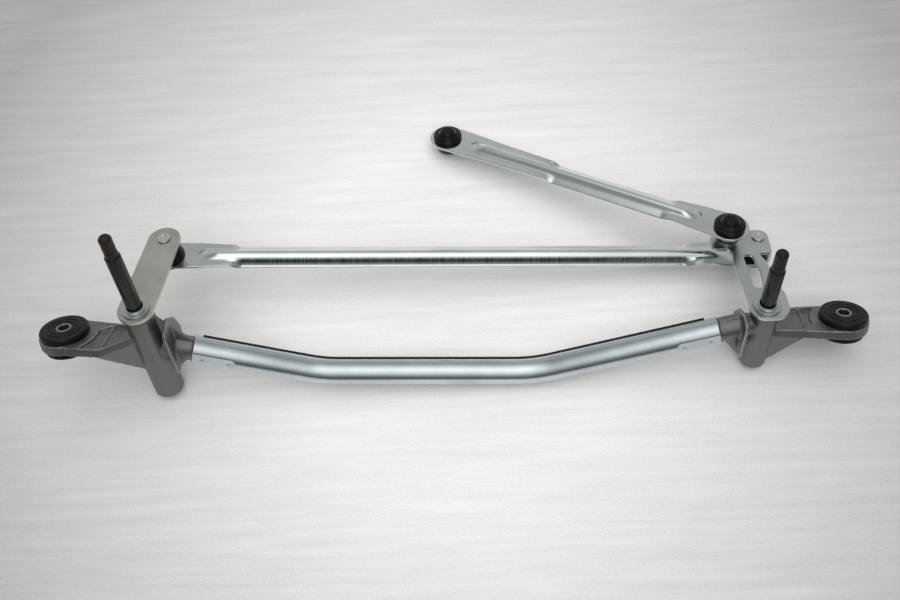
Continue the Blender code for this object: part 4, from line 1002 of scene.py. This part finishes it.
@dataclass
class Crank:
    """One crank: spindle, lever, ball studs, rings and washers."""

    layout: Layout
    side: Side
    rise: float
    foot: float
    sleeve: float
    radius: float = 0.0062
    tip_radius: float = 0.0051
    tip_length: float = 0.0190
    ring: float = 0.0112
    ring_neck: float = 0.0084
    foot_recess: float = 0.0070
    bush_flange: float = 0.0012
    washer: float = 0.0010
    washer_inset: float = 0.0010
    clip: float = 0.0012
    clip_depth: float = 0.0009
    end_recess: float = 0.0012
    joint: BallJoint = field(default_factory=BallJoint)

    def spindle_mesh(self, place: Array) -> Mesh:
        """Turn the spindle: a plain shank, a cone, a waisted end and a rounded tip."""
        tip, rise, thin = self.rise - self.tip_length, self.rise - 0.0002, self.tip_radius
        washer = -self.foot + self.foot_recess - GAP - self.bush_flange - GAP
        clip = washer - self.washer - GAP
        high, low = clip + GAP / 2.0, clip - self.clip - GAP / 2.0
        groove, end = self.radius - self.clip_depth, -self.foot + self.end_recess
        return turned(f"{self.side.value}_spindle_turned", place, [
            (0.0, rise), (thin * 0.70, rise, 0.0016), (thin, rise - 0.0022, 0.0020),
            (thin, tip + 0.0070, 0.0008), (thin - 0.00035, tip + 0.0064, 0.0005),
            (thin - 0.00035, tip + 0.0052, 0.0005), (thin, tip + 0.0046, 0.0008),
            (thin, tip, 0.0010), (self.radius, tip - 0.0016, 0.0012), (self.radius, high),
            (groove, high), (groove, low), (self.radius, low),
            (self.radius, end, 0.0006), (0.0, end)], 80, 5, False, 0.0002)

    def ring_mesh(self, place: Array) -> Mesh:
        """Turn the stepped ring that holds the lever on its spindle."""
        inner = self.radius + GAP
        return turned(f"{self.side.value}_lever_collar", place, [
            (inner, GAP), (self.ring, GAP, 0.0003), (self.ring, GAP + 0.0018, 0.0006),
            (self.ring_neck, GAP + 0.0018, 0.0004), (self.ring_neck, GAP + 0.0034, 0.0008),
            (inner, GAP + 0.0034, 0.0003)], 96, 5)

    def washer_mesh(self, place: Array) -> Mesh:
        """Turn the thrust washer between the lever and the sleeve."""
        inner, outer = self.radius + GAP, self.sleeve - self.washer_inset
        top = -self.layout.sizes.lever - GAP
        low = top - self.washer
        return turned(f"{self.side.value}_thrust_disc", place, [
            (inner, low), (outer, low, 0.0003), (outer, top, 0.0003), (inner, top)], 80)

    def lever_outline(self) -> list[Array]:
        """Return the lever's outline and holes in plan."""
        stud = self.layout.sizes.stud()
        hub, neck = self.radius + GAP, self.joint.neck + GAP
        if self.side is Side.LEFT:
            near, far = 0.0146, 0.0136
            heading = math.atan2(stud[1], stud[0])
            opening = math.acos((near - far) / math.hypot(*stud))
            end = arc(far, np.linspace(heading - opening, heading + opening, 60), stud)
            start = arc(near, np.linspace(heading + opening, heading - opening + math.tau, 60))
            return [np.vstack([end, start]), circle(hub, 48), circle(neck, 32, stud)]
        drive = self.layout.sizes.drive_stud
        pad, wide, left, right, front = 0.0086, 0.0131, 0.0168, 0.0114, 0.0138
        notch = ((stud[0] + drive[0]) / 2.0, (stud[1] + drive[1]) / 2.0)
        outline = filleted([
            (-0.0140, -front, front * 0.9), (0.0176, -front, front * 0.9),
            (0.0176, front * 0.85, front), (right * 1.04, stud[1] * 0.395, front),
            (right * 0.96, stud[1] * 0.605, front),
            *((at[0] + pad * x, at[1] + pad * y, pad * fillet) for at, x, y, fillet in (
                (stud, -0.38, -2.08, 0.17), (stud, 0.92, -2.12, 0.29), (stud, 1.03, 1.0, 0.95),
                (stud, -0.92, 1.06, 0.55), (notch, -0.06, 0.52, 0.35))),
            (drive[0] + pad * 1.02, drive[1] + wide, pad * 0.45),
            (drive[0] - wide, drive[1] + wide, wide * 0.84),
            (drive[0] - wide, drive[1] - pad, pad * 0.45),
            (drive[0] + pad * 0.07, drive[1] - pad, pad * 0.35),
            (-left * 0.89, drive[1] - pad * 1.75, pad * 0.9),
            (-left * 1.03, drive[1] * 0.63, front), (-left * 0.90, drive[1] * 0.30, front)], 10)
        start, end, width = 0.0195, min(stud[1], drive[1]) - 0.0160, 0.0090
        window = filleted([
            (-width * 0.64, start, width * 0.33), (width * 0.22, start, width * 0.31),
            (width * 0.38, (start + end) * 0.484, width), (width * 0.04, end, width * 0.31),
            (-width * 0.80, end, width * 0.31),
            (-width * 0.71, (start + end) * 0.497, width)], 10)
        return [outline, circle(hub, 48), circle(neck, 32, stud),
                circle(neck, 32, self.layout.sizes.drive_stud), window]

    def build(self, shop: Workshop) -> None:
        """Build the crank's pieces, dress them and report them."""
        side, sizes = self.side.value, self.layout.sizes
        place = self.layout.crank(self.side)
        body = Body.LEFT_CRANK if self.side is Side.LEFT else Body.RIGHT_CRANK
        shop.piece(self.spindle_mesh(place), body, PHOSPHATE, place, f"{side}_spindle")
        shop.piece(self.ring_mesh(place), body, ZINC, place, f"{side}_lever_ring")
        shop.piece(self.washer_mesh(place), body, STEEL, place, f"{side}_thrust_washer")
        along = turned_about(place, "Z", math.pi / 2.0 - sizes.crank_angle)
        lever = stamped_plate(f"{side}_lever_stamping", self.lever_outline(), -sizes.lever, 0.0,
                              0.0006, place)
        shop.piece(lever, body, LEFT_LEVER_ZINC if self.side is Side.LEFT else ZINC, along,
                   f"{side}_lever")
        stud = shifted(place, *sizes.stud(), -sizes.lever)
        shop.piece(self.joint.stud_mesh(f"{side}_riveted_ball", stud, sizes.lever,
                                        sizes.ball_reach), body, STEEL, stud, f"{side}_ball_stud")
        if self.side is Side.RIGHT:
            stud = turned_about(shifted(place, *sizes.drive_stud, 0.0), "X", math.pi)
            shop.piece(self.joint.stud_mesh("drive_riveted_ball", stud, sizes.lever,
                                            sizes.ball_reach), body, STEEL, stud,
                       "drive_ball_stud")
        shop.carry_over(STEEL, place, f"{side}_foot_washer", f"{side}_circlip")


@dataclass
class Housing:
    """One die-cast housing with its grommet, steel sleeve and bearings."""

    layout: Layout
    side: Side
    voxel: float = 0.00062
    rounds: int = 7
    # Depths of rounding over which the painted edge highlight fades in.
    painted_highlight_depths: Pair = (0.00012, 0.0003)
    rim: float = 0.0004
    grommet: float = 0.01965
    waist: float = 0.0130
    lower: float = 0.0183
    flange: float = 0.0052
    crown: float = 0.0140
    crown_height: float = 0.0008
    spacer: float = 0.0064
    spacer_bore: float = 0.0043

    def casting_mesh(self, node: bpy.types.Object) -> Mesh:
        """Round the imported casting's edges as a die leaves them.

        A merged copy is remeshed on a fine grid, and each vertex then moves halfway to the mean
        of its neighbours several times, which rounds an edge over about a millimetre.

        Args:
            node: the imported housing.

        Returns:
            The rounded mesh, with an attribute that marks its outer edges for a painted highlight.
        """
        copy = node.data.copy()
        shape = bmesh.new()
        shape.from_mesh(copy)
        bmesh.ops.remove_doubles(shape, verts=shape.verts, dist=1e-5)
        shape.to_mesh(copy)
        shape.free()
        holder = linked(bpy.data.objects.new("casting_holder", copy))
        grid = holder.modifiers.new("grid", "REMESH")
        grid.mode = "VOXEL"
        grid.voxel_size = self.voxel
        bpy.context.view_layer.update()
        raw = bpy.data.meshes.new_from_object(
            holder.evaluated_get(bpy.context.evaluated_depsgraph_get()))
        bpy.data.objects.remove(holder)
        points = read(raw.vertices, "co", 3, float)
        pairs = read(raw.edges, "vertices", 2, int)
        both = np.vstack([pairs, pairs[:, ::-1]])
        degree = np.bincount(both[:, 0], minlength=len(points))[:, None]
        moved = points
        for _ in range(self.rounds):
            total = np.stack([np.bincount(both[:, 0], moved[both[:, 1], k], len(points))
                              for k in range(3)], 1)
            moved = moved * 0.5 + total / degree * 0.5
        # How far each vertex sank in the rounding marks the outer edges for the painted highlight.
        painted_light = -np.sum((moved - points) * read(raw.vertices, "normal", 3, float), 1)
        raw.vertices.foreach_set("co", moved.reshape(-1))
        edge = raw.attributes.new("edge", "FLOAT", "POINT")
        least, more = self.painted_highlight_depths
        edge.data.foreach_set("value", np.clip((painted_light - least) / more, 0.0, 1.0))
        raw.name = f"{self.side.value}_casting"
        raw.shade_smooth()
        raw.update()
        return raw

    def grommet_mesh(self, place: Array) -> Mesh:
        """Turn the grommet: two flanges, a waist in the eye, a raised crown and a sunk ring."""
        rest = self.layout.sizes.arm / 2.0 + self.rim + GAP
        top, inner = rest + self.flange, self.spacer + GAP
        crown, wide, narrow = top + self.crown_height, self.grommet, self.lower
        return turned(f"{self.side.value}_moulded_grommet", place, [
            (inner, crown - 0.0006), (inner + 0.0012, crown - 0.0006, 0.0005),
            (inner + 0.0020, crown, 0.0005), (inner + 0.0034, crown, 0.0005),
            (inner + 0.0040, crown - 0.0007, 0.0005), (inner + 0.0052, crown - 0.0007, 0.0005),
            (inner + 0.0058, crown, 0.0005), (self.crown, crown, 0.0006),
            (self.crown + 0.0005, top, 0.0005), (wide - 0.0010, top, 0.0012),
            (wide, top - 0.0016, 0.0010), (wide, rest + 0.0004, 0.0005),
            (wide - 0.0006, rest, 0.0003), (self.waist, rest), (self.waist, -rest),
            (narrow - 0.0004, -rest, 0.0003), (narrow, -rest - 0.0006, 0.0005),
            (narrow, -top, 0.0012), (inner, -top)], 112, margin=0.0002)

    def sleeve_mesh(self, place: Array) -> Mesh:
        """Turn the steel sleeve inside the grommet, with chamfered mouths."""
        top = self.layout.sizes.arm / 2.0 + self.rim + GAP + self.flange
        high, low = top + self.crown_height - 0.0005, -top - 0.0002
        return turned(f"{self.side.value}_rolled_sleeve", place, [
            (self.spacer_bore, low, 0.0003), (self.spacer, low, 0.0003),
            (self.spacer, high, 0.0004), (self.spacer_bore, high, 0.0006)], 80)

    def build(self, shop: Workshop) -> None:
        """Build the housing's pieces, dress them and report them."""
        side, pivot, eye = self.side.value, self.layout.crank(self.side), self.layout.eye(self.side)
        casting = self.casting_mesh(shop.nodes[f"{side}_housing"])
        shop.piece(casting, Body.FRAME, CAST, pivot, f"{side}_housing")
        shop.piece(self.grommet_mesh(eye), Body.FRAME, RUBBER, eye, f"{side}_grommet")
        shop.piece(self.sleeve_mesh(eye), Body.FRAME, SHADED_SLEEVE_STEEL, eye, f"{side}_spacer_sleeve")
        shop.carry_over(RUBBER, pivot, f"{side}_o_ring")
        shop.carry_over(BRONZE, pivot, f"{side}_upper_bush", f"{side}_lower_bush")


@dataclass
class FrameTube:
    """The bent frame tube with its pressed ends, and the black strip along it.

    A dimple or pip is given by its angle from the front, its size and its height.
    """

    layout: Layout
    radius: float = 0.0110
    wall: float = 0.0015
    bend: float = 0.110
    level: float = -0.0530
    lean: float = 0.143
    corners: tuple[Pair, ...] = (
        (0.0328, -0.0531), (0.1360, -0.0870), (0.3139, -0.0989), (0.4663, -0.0614))
    crimp_length: float = 0.0360
    crimp_depth: float = 0.0011
    dimples: Pair = (0.0085, 0.0300)
    dimple: Triple = (0.0, 0.0022, -0.0006)
    pips: Pair = (0.181, 0.243)
    pip: Triple = (0.70, 0.0011, 0.00035)
    strip_width: float = 0.0050
    strip_end: float = 0.006
    strip: float = 0.0012

    def path(self) -> Array:
        """Return the tube's middle line: straight runs joined by arcs, in its leaning plane."""
        flat = filleted([(x, z, self.bend) for x, z in self.corners], 24, False)
        runs = [flat[:1]]
        for start, end in zip(flat[:-1], flat[1:]):
            count = max(1, round(float(np.linalg.norm(end - start)) / 0.0012))
            runs.append(start + (end - start) * np.linspace(0.0, 1.0, count + 1)[1:, None])
        plan = np.vstack(runs)
        return np.stack([plan[:, 0], self.lean * (plan[:, 1] - self.level), plan[:, 1]], 1)

    def frames(self, line: Array, side: Array) -> tuple[Array, ...]:
        """Return, along a line, its tangents and two unit vectors square to them."""
        along = unit(np.gradient(line, axis=0))
        out = unit(side - along * (along @ side)[:, None])
        return along, out, np.cross(along, out)

    def bumps(self, along: Array, turn: Array, places: tuple[float, ...],
              bump: Triple) -> Array:
        """Return equal round bumps at places along the tube: height exp(-(distance / size)^2)."""
        angle, size, height = bump
        return height * sum(np.exp(-((along - place) ** 2 + (self.radius * (turn - angle)) ** 2)
                                   / size ** 2) for place in places)

    def spokes(self, out: Array, across: Array, angles: Array) -> Array:
        """Return unit vectors at angles from out towards across, a row for each station."""
        return (out[:, None] * np.cos(angles)[None, :, None]
                + across[:, None] * np.sin(angles)[None, :, None])

    def tube_mesh(self) -> Mesh:
        """Sweep the tube: at each station a circle, pressed in at the ends.

        The radius at angle a from the front is R - p, where p flattens the front to a level face
        near each end, and adds round dimples that deepen it and small pips that raise it.
        """
        line = self.path()
        _, out, across = self.frames(line, unit(np.array([0.0, -1.0, 0.06])))
        along = distances(line)
        angles = np.linspace(0.0, math.tau, 96, endpoint=False)
        turn = (angles + math.pi) % math.tau - math.pi
        near = np.minimum(along, along[-1] - along)[:, None]
        radius = np.full((len(line), len(angles)), self.radius)
        depth = self.crimp_depth * ease((self.crimp_length - near) / 0.002)
        level = (self.radius - depth) / np.maximum(np.cos(turn), 0.2)
        inside = np.abs(turn) < 1.0
        radius = np.where(inside, np.minimum(radius, level), radius)
        radius = radius + self.bumps(near, turn, self.dimples, self.dimple)
        radius = radius + self.bumps(along[:, None], turn, self.pips, self.pip)
        ring = self.spokes(out, across, angles)
        outer = line[:, None] + ring * radius[..., None]
        inner = line[:, None] + ring * (self.radius - self.wall)
        bore = np.concatenate([inner[:12], inner[12:-12:6], inner[-12:]])
        loops = np.concatenate([outer, bore[::-1]])
        return skinned("bent_tube", placed(loops, self.layout.design), wrap=True)

    def strip_mesh(self) -> Mesh:
        """Lay the strip on the tube's rear: a band of the tube's curve with rounded edges."""
        line = self.path()
        _, out, across = self.frames(line, unit(np.array([0.0, 0.86, 0.51])))
        along = distances(line)
        kept = (along > self.strip_end) & (along < along[-1] - self.strip_end)
        line, out, across = line[kept][::3], out[kept][::3], across[kept][::3]
        half = self.strip_width / (2.0 * self.radius)
        low, high = self.radius + GAP, self.radius + GAP + self.strip
        turn = half * np.array([-1.0, -0.5, 0.0, 0.5, 1.0, 1.0, 0.93, 0.5, 0.0, -0.5, -0.93, -1.0])
        reach = np.array([low] * 5 + [high - 0.0003] + [high] * 5 + [high - 0.0003])
        ring = self.spokes(out, across, turn) * reach[None, :, None]
        return skinned("edge_strip", placed(line[:, None] + ring, self.layout.design), caps=True)

    def build(self, shop: Workshop) -> None:
        """Build the tube and its strip, dress them and report them."""
        place = self.layout.design
        shop.piece(self.tube_mesh(), Body.FRAME, TUBE_ZINC, place, "frame_tube")
        shop.piece(self.strip_mesh(), Body.FRAME, RUBBER, place, "tube_strip")


@dataclass(frozen=True)
class Studio:
    """The camera, the pale floor and the soft light."""

    layout: Layout
    camera: Triple = (0.2630, -0.5108, 0.5806)
    right: Triple = (0.9985, -0.0246, -0.048)
    up: Triple = (0.05, 0.7552, 0.6536)
    lens: float = 39.6
    overhead: float = 25.0
    lamp_size: Pair = (3.0, 2.2)
    lamp_place: Triple = (-0.07, -0.04, 1.5)
    lamp_aim: Triple = (0.0, 0.03, 0.0)
    floor: float = 3.0
    # Painted pool of light: the floor's tones are bright in its middle and dim towards its rim.
    floor_painted_bright: tuple[Colour, Colour] = ((0.70, 0.688, 0.680), (0.95, 0.936, 0.927))
    floor_painted_dim: tuple[Colour, Colour] = ((0.305, 0.295, 0.287), (0.475, 0.461, 0.450))
    brightest: float = 1.6
    span: float = 100.0
    room: tuple[Pair, ...] = (
        (-90.0, 0.10), (-77.0, 0.12), (-60.0, 0.27), (-44.0, 0.42), (0.0, 0.46), (48.0, 0.48),
        (60.0, 0.40), (73.0, 0.58), (90.0, 0.54))
    glow: tuple[Pair, ...] = (
        (-62.0, 0.0), (-44.0, 0.30), (-29.0, 0.75), (-8.0, 1.15), (8.0, 1.05), (20.0, 0.70),
        (34.0, 0.30), (52.0, 0.0))

    def place_camera(self) -> None:
        """Put the camera where the photograph was taken from."""
        right = unit(np.array(self.right))
        up = np.array(self.up)
        up = unit(up - right * (up @ right))
        local = np.eye(4)
        local[:3, :3] = np.stack([right, up, np.cross(right, up)], 1)
        local[:3, 3] = self.camera
        data = bpy.data.cameras.new("camera")
        data.sensor_width = 36.0
        data.lens = self.lens
        data.clip_start = 0.01
        camera = linked(bpy.data.objects.new("camera", data))
        camera.matrix_world = Matrix((self.layout.design @ local).tolist())
        bpy.context.scene.camera = camera

    def lay_floor(self) -> None:
        """Lay a pale floor with a painted pool of light, bright in its middle and dim towards its
        rim, and faint long streaks.
        """
        turns = ((-1.0, -1.0), (1.0, -1.0), (1.0, 1.0), (-1.0, 1.0))
        corners = [(x * self.floor, y * self.floor, 0.0) for x, y in turns]
        mesh = bpy.data.meshes.new("floor")
        mesh.from_pydata(corners, [], [[0, 1, 2, 3]])
        material = bpy.data.materials.new("floor_finish")
        material.use_nodes = True
        tree = Tree(material.node_tree)
        shader = material.node_tree.nodes["Principled BSDF"]
        shader.inputs["Roughness"].default_value = 0.8
        own = tree.node("ShaderNodeTexCoord").outputs["Object"]
        centred = tree.node("ShaderNodeMapping", {"Vector": own, "Location": (0.0, 0.05, 0.0),
                                                  "Scale": (1.05, 0.92, 1.0)})
        away = tree.node("ShaderNodeVectorMath", {0: centred.outputs[0]}, operation="LENGTH")
        # Painted light: the floor darkens with distance from its middle.
        far = tree.remap(away.outputs["Value"], 0.16, 0.52)
        streak = tree.streaks(own, (9.0, 130.0, 1.0), 3.0, 0.6, 0.06)
        tone = tree.blend(streak, 0.35, tree.noise(own, 760.0, 3.0, 0.7), 0.65)
        tone = tree.remap(tone, 0.3, 0.7)
        colour = tree.mix(far, *(tree.mix(tone, *tones)
                                 for tones in (self.floor_painted_bright, self.floor_painted_dim)))
        material.node_tree.links.new(colour, shader.inputs["Base Color"])
        mesh.materials.append(material)
        linked(bpy.data.objects.new("floor", mesh))

    def light(self) -> None:
        """Light the scene with a soft room and a large lamp above.

        The room's brightness follows the angle from straight up towards the rear, because nearly
        all of the part runs from side to side. It is darker towards the left and right, except
        low at the rear. A bright patch overhead, narrow from side to side, adds to it.
        """
        world = bpy.data.worlds.new("soft_room")
        bpy.context.scene.world = world
        world.use_nodes = True
        tree = Tree(world.node_tree)
        back = world.node_tree.nodes["Background"]
        look = tree.node("ShaderNodeTexCoord").outputs["Generated"]
        parts = tree.node("ShaderNodeSeparateXYZ", {0: look})
        angle = tree.math("ARCTAN2", parts.outputs[1], parts.outputs[2])
        share = tree.remap(angle, math.radians(-self.span), math.radians(self.span))
        room, glow = (self.band(tree, share, levels) for levels in (self.room, self.glow))
        aside = tree.math("ABSOLUTE", tree.math("ADD", parts.outputs[0], -0.03))
        narrow = tree.remap(aside, 0.16, 0.40, 1.0, 0.0)
        sides = tree.remap(angle, math.radians(46.0), math.radians(60.0), 0.36, 0.0)
        sides = tree.math("MULTIPLY", sides, tree.remap(aside, 0.13, 0.30))
        room = tree.math("MULTIPLY", room, tree.math("SUBTRACT", 1.0, sides))
        total = tree.math("ADD", room, tree.math("MULTIPLY", glow, narrow))
        world.node_tree.links.new(total, back.inputs["Color"])
        back.inputs["Strength"].default_value = self.brightest
        data = bpy.data.lights.new("overhead", "AREA")
        data.shape = "RECTANGLE"
        data.size, data.size_y = self.lamp_size
        data.energy = self.overhead
        lamp = linked(bpy.data.objects.new("overhead", data))
        lamp.location = self.lamp_place
        aim = Vector(self.lamp_aim) - lamp.location
        lamp.rotation_mode = "QUATERNION"
        lamp.rotation_quaternion = aim.to_track_quat("-Z", "Y")
        lamp.visible_glossy = False

    def band(self, tree: Tree, share: Socket,
             levels: tuple[Pair, ...]) -> Socket:
        """Return a brightness that follows pairs of angle in degrees and level."""
        ramp = tree.node("ShaderNodeValToRGB", {0: share})
        for _ in levels[2:]:
            ramp.color_ramp.elements.new(0.5)
        for element, (turn, level) in zip(ramp.color_ramp.elements, levels):
            element.position = (turn + self.span) / (2.0 * self.span)
            element.color = (level / self.brightest,) * 3 + (1.0,)
        return ramp.outputs[0]

    def build(self) -> None:
        """Set the stage and the plain view transform."""
        bpy.context.scene.view_settings.view_transform = "Standard"
        self.place_camera()
        self.lay_floor()
        self.light()


def main() -> None:
    """Build the sub-assemblies in order and report each piece."""
    logging.basicConfig(level=logging.INFO, format="%(message)s")
    layout = Layout(frame["joints"], Sizes())
    shop = Workshop(frame["nodes"])
    Studio(layout).build()
    Effects().make()
    FrameTube(layout).build(shop)
    Housing(layout, Side.LEFT).build(shop)
    Housing(layout, Side.RIGHT).build(shop)
    Crank(layout, Side.LEFT, rise=0.0807, foot=0.1035, sleeve=0.0125).build(shop)
    Crank(layout, Side.RIGHT, rise=0.0623, foot=0.0695, sleeve=0.0112).build(shop)
    Links(layout).build(shop)
    bare = sorted(set(frame["nodes"]) - shop.dressed)
    LOG.info("packed nodes left undressed: %s", bare)


if __name__ == "__main__":
    main()
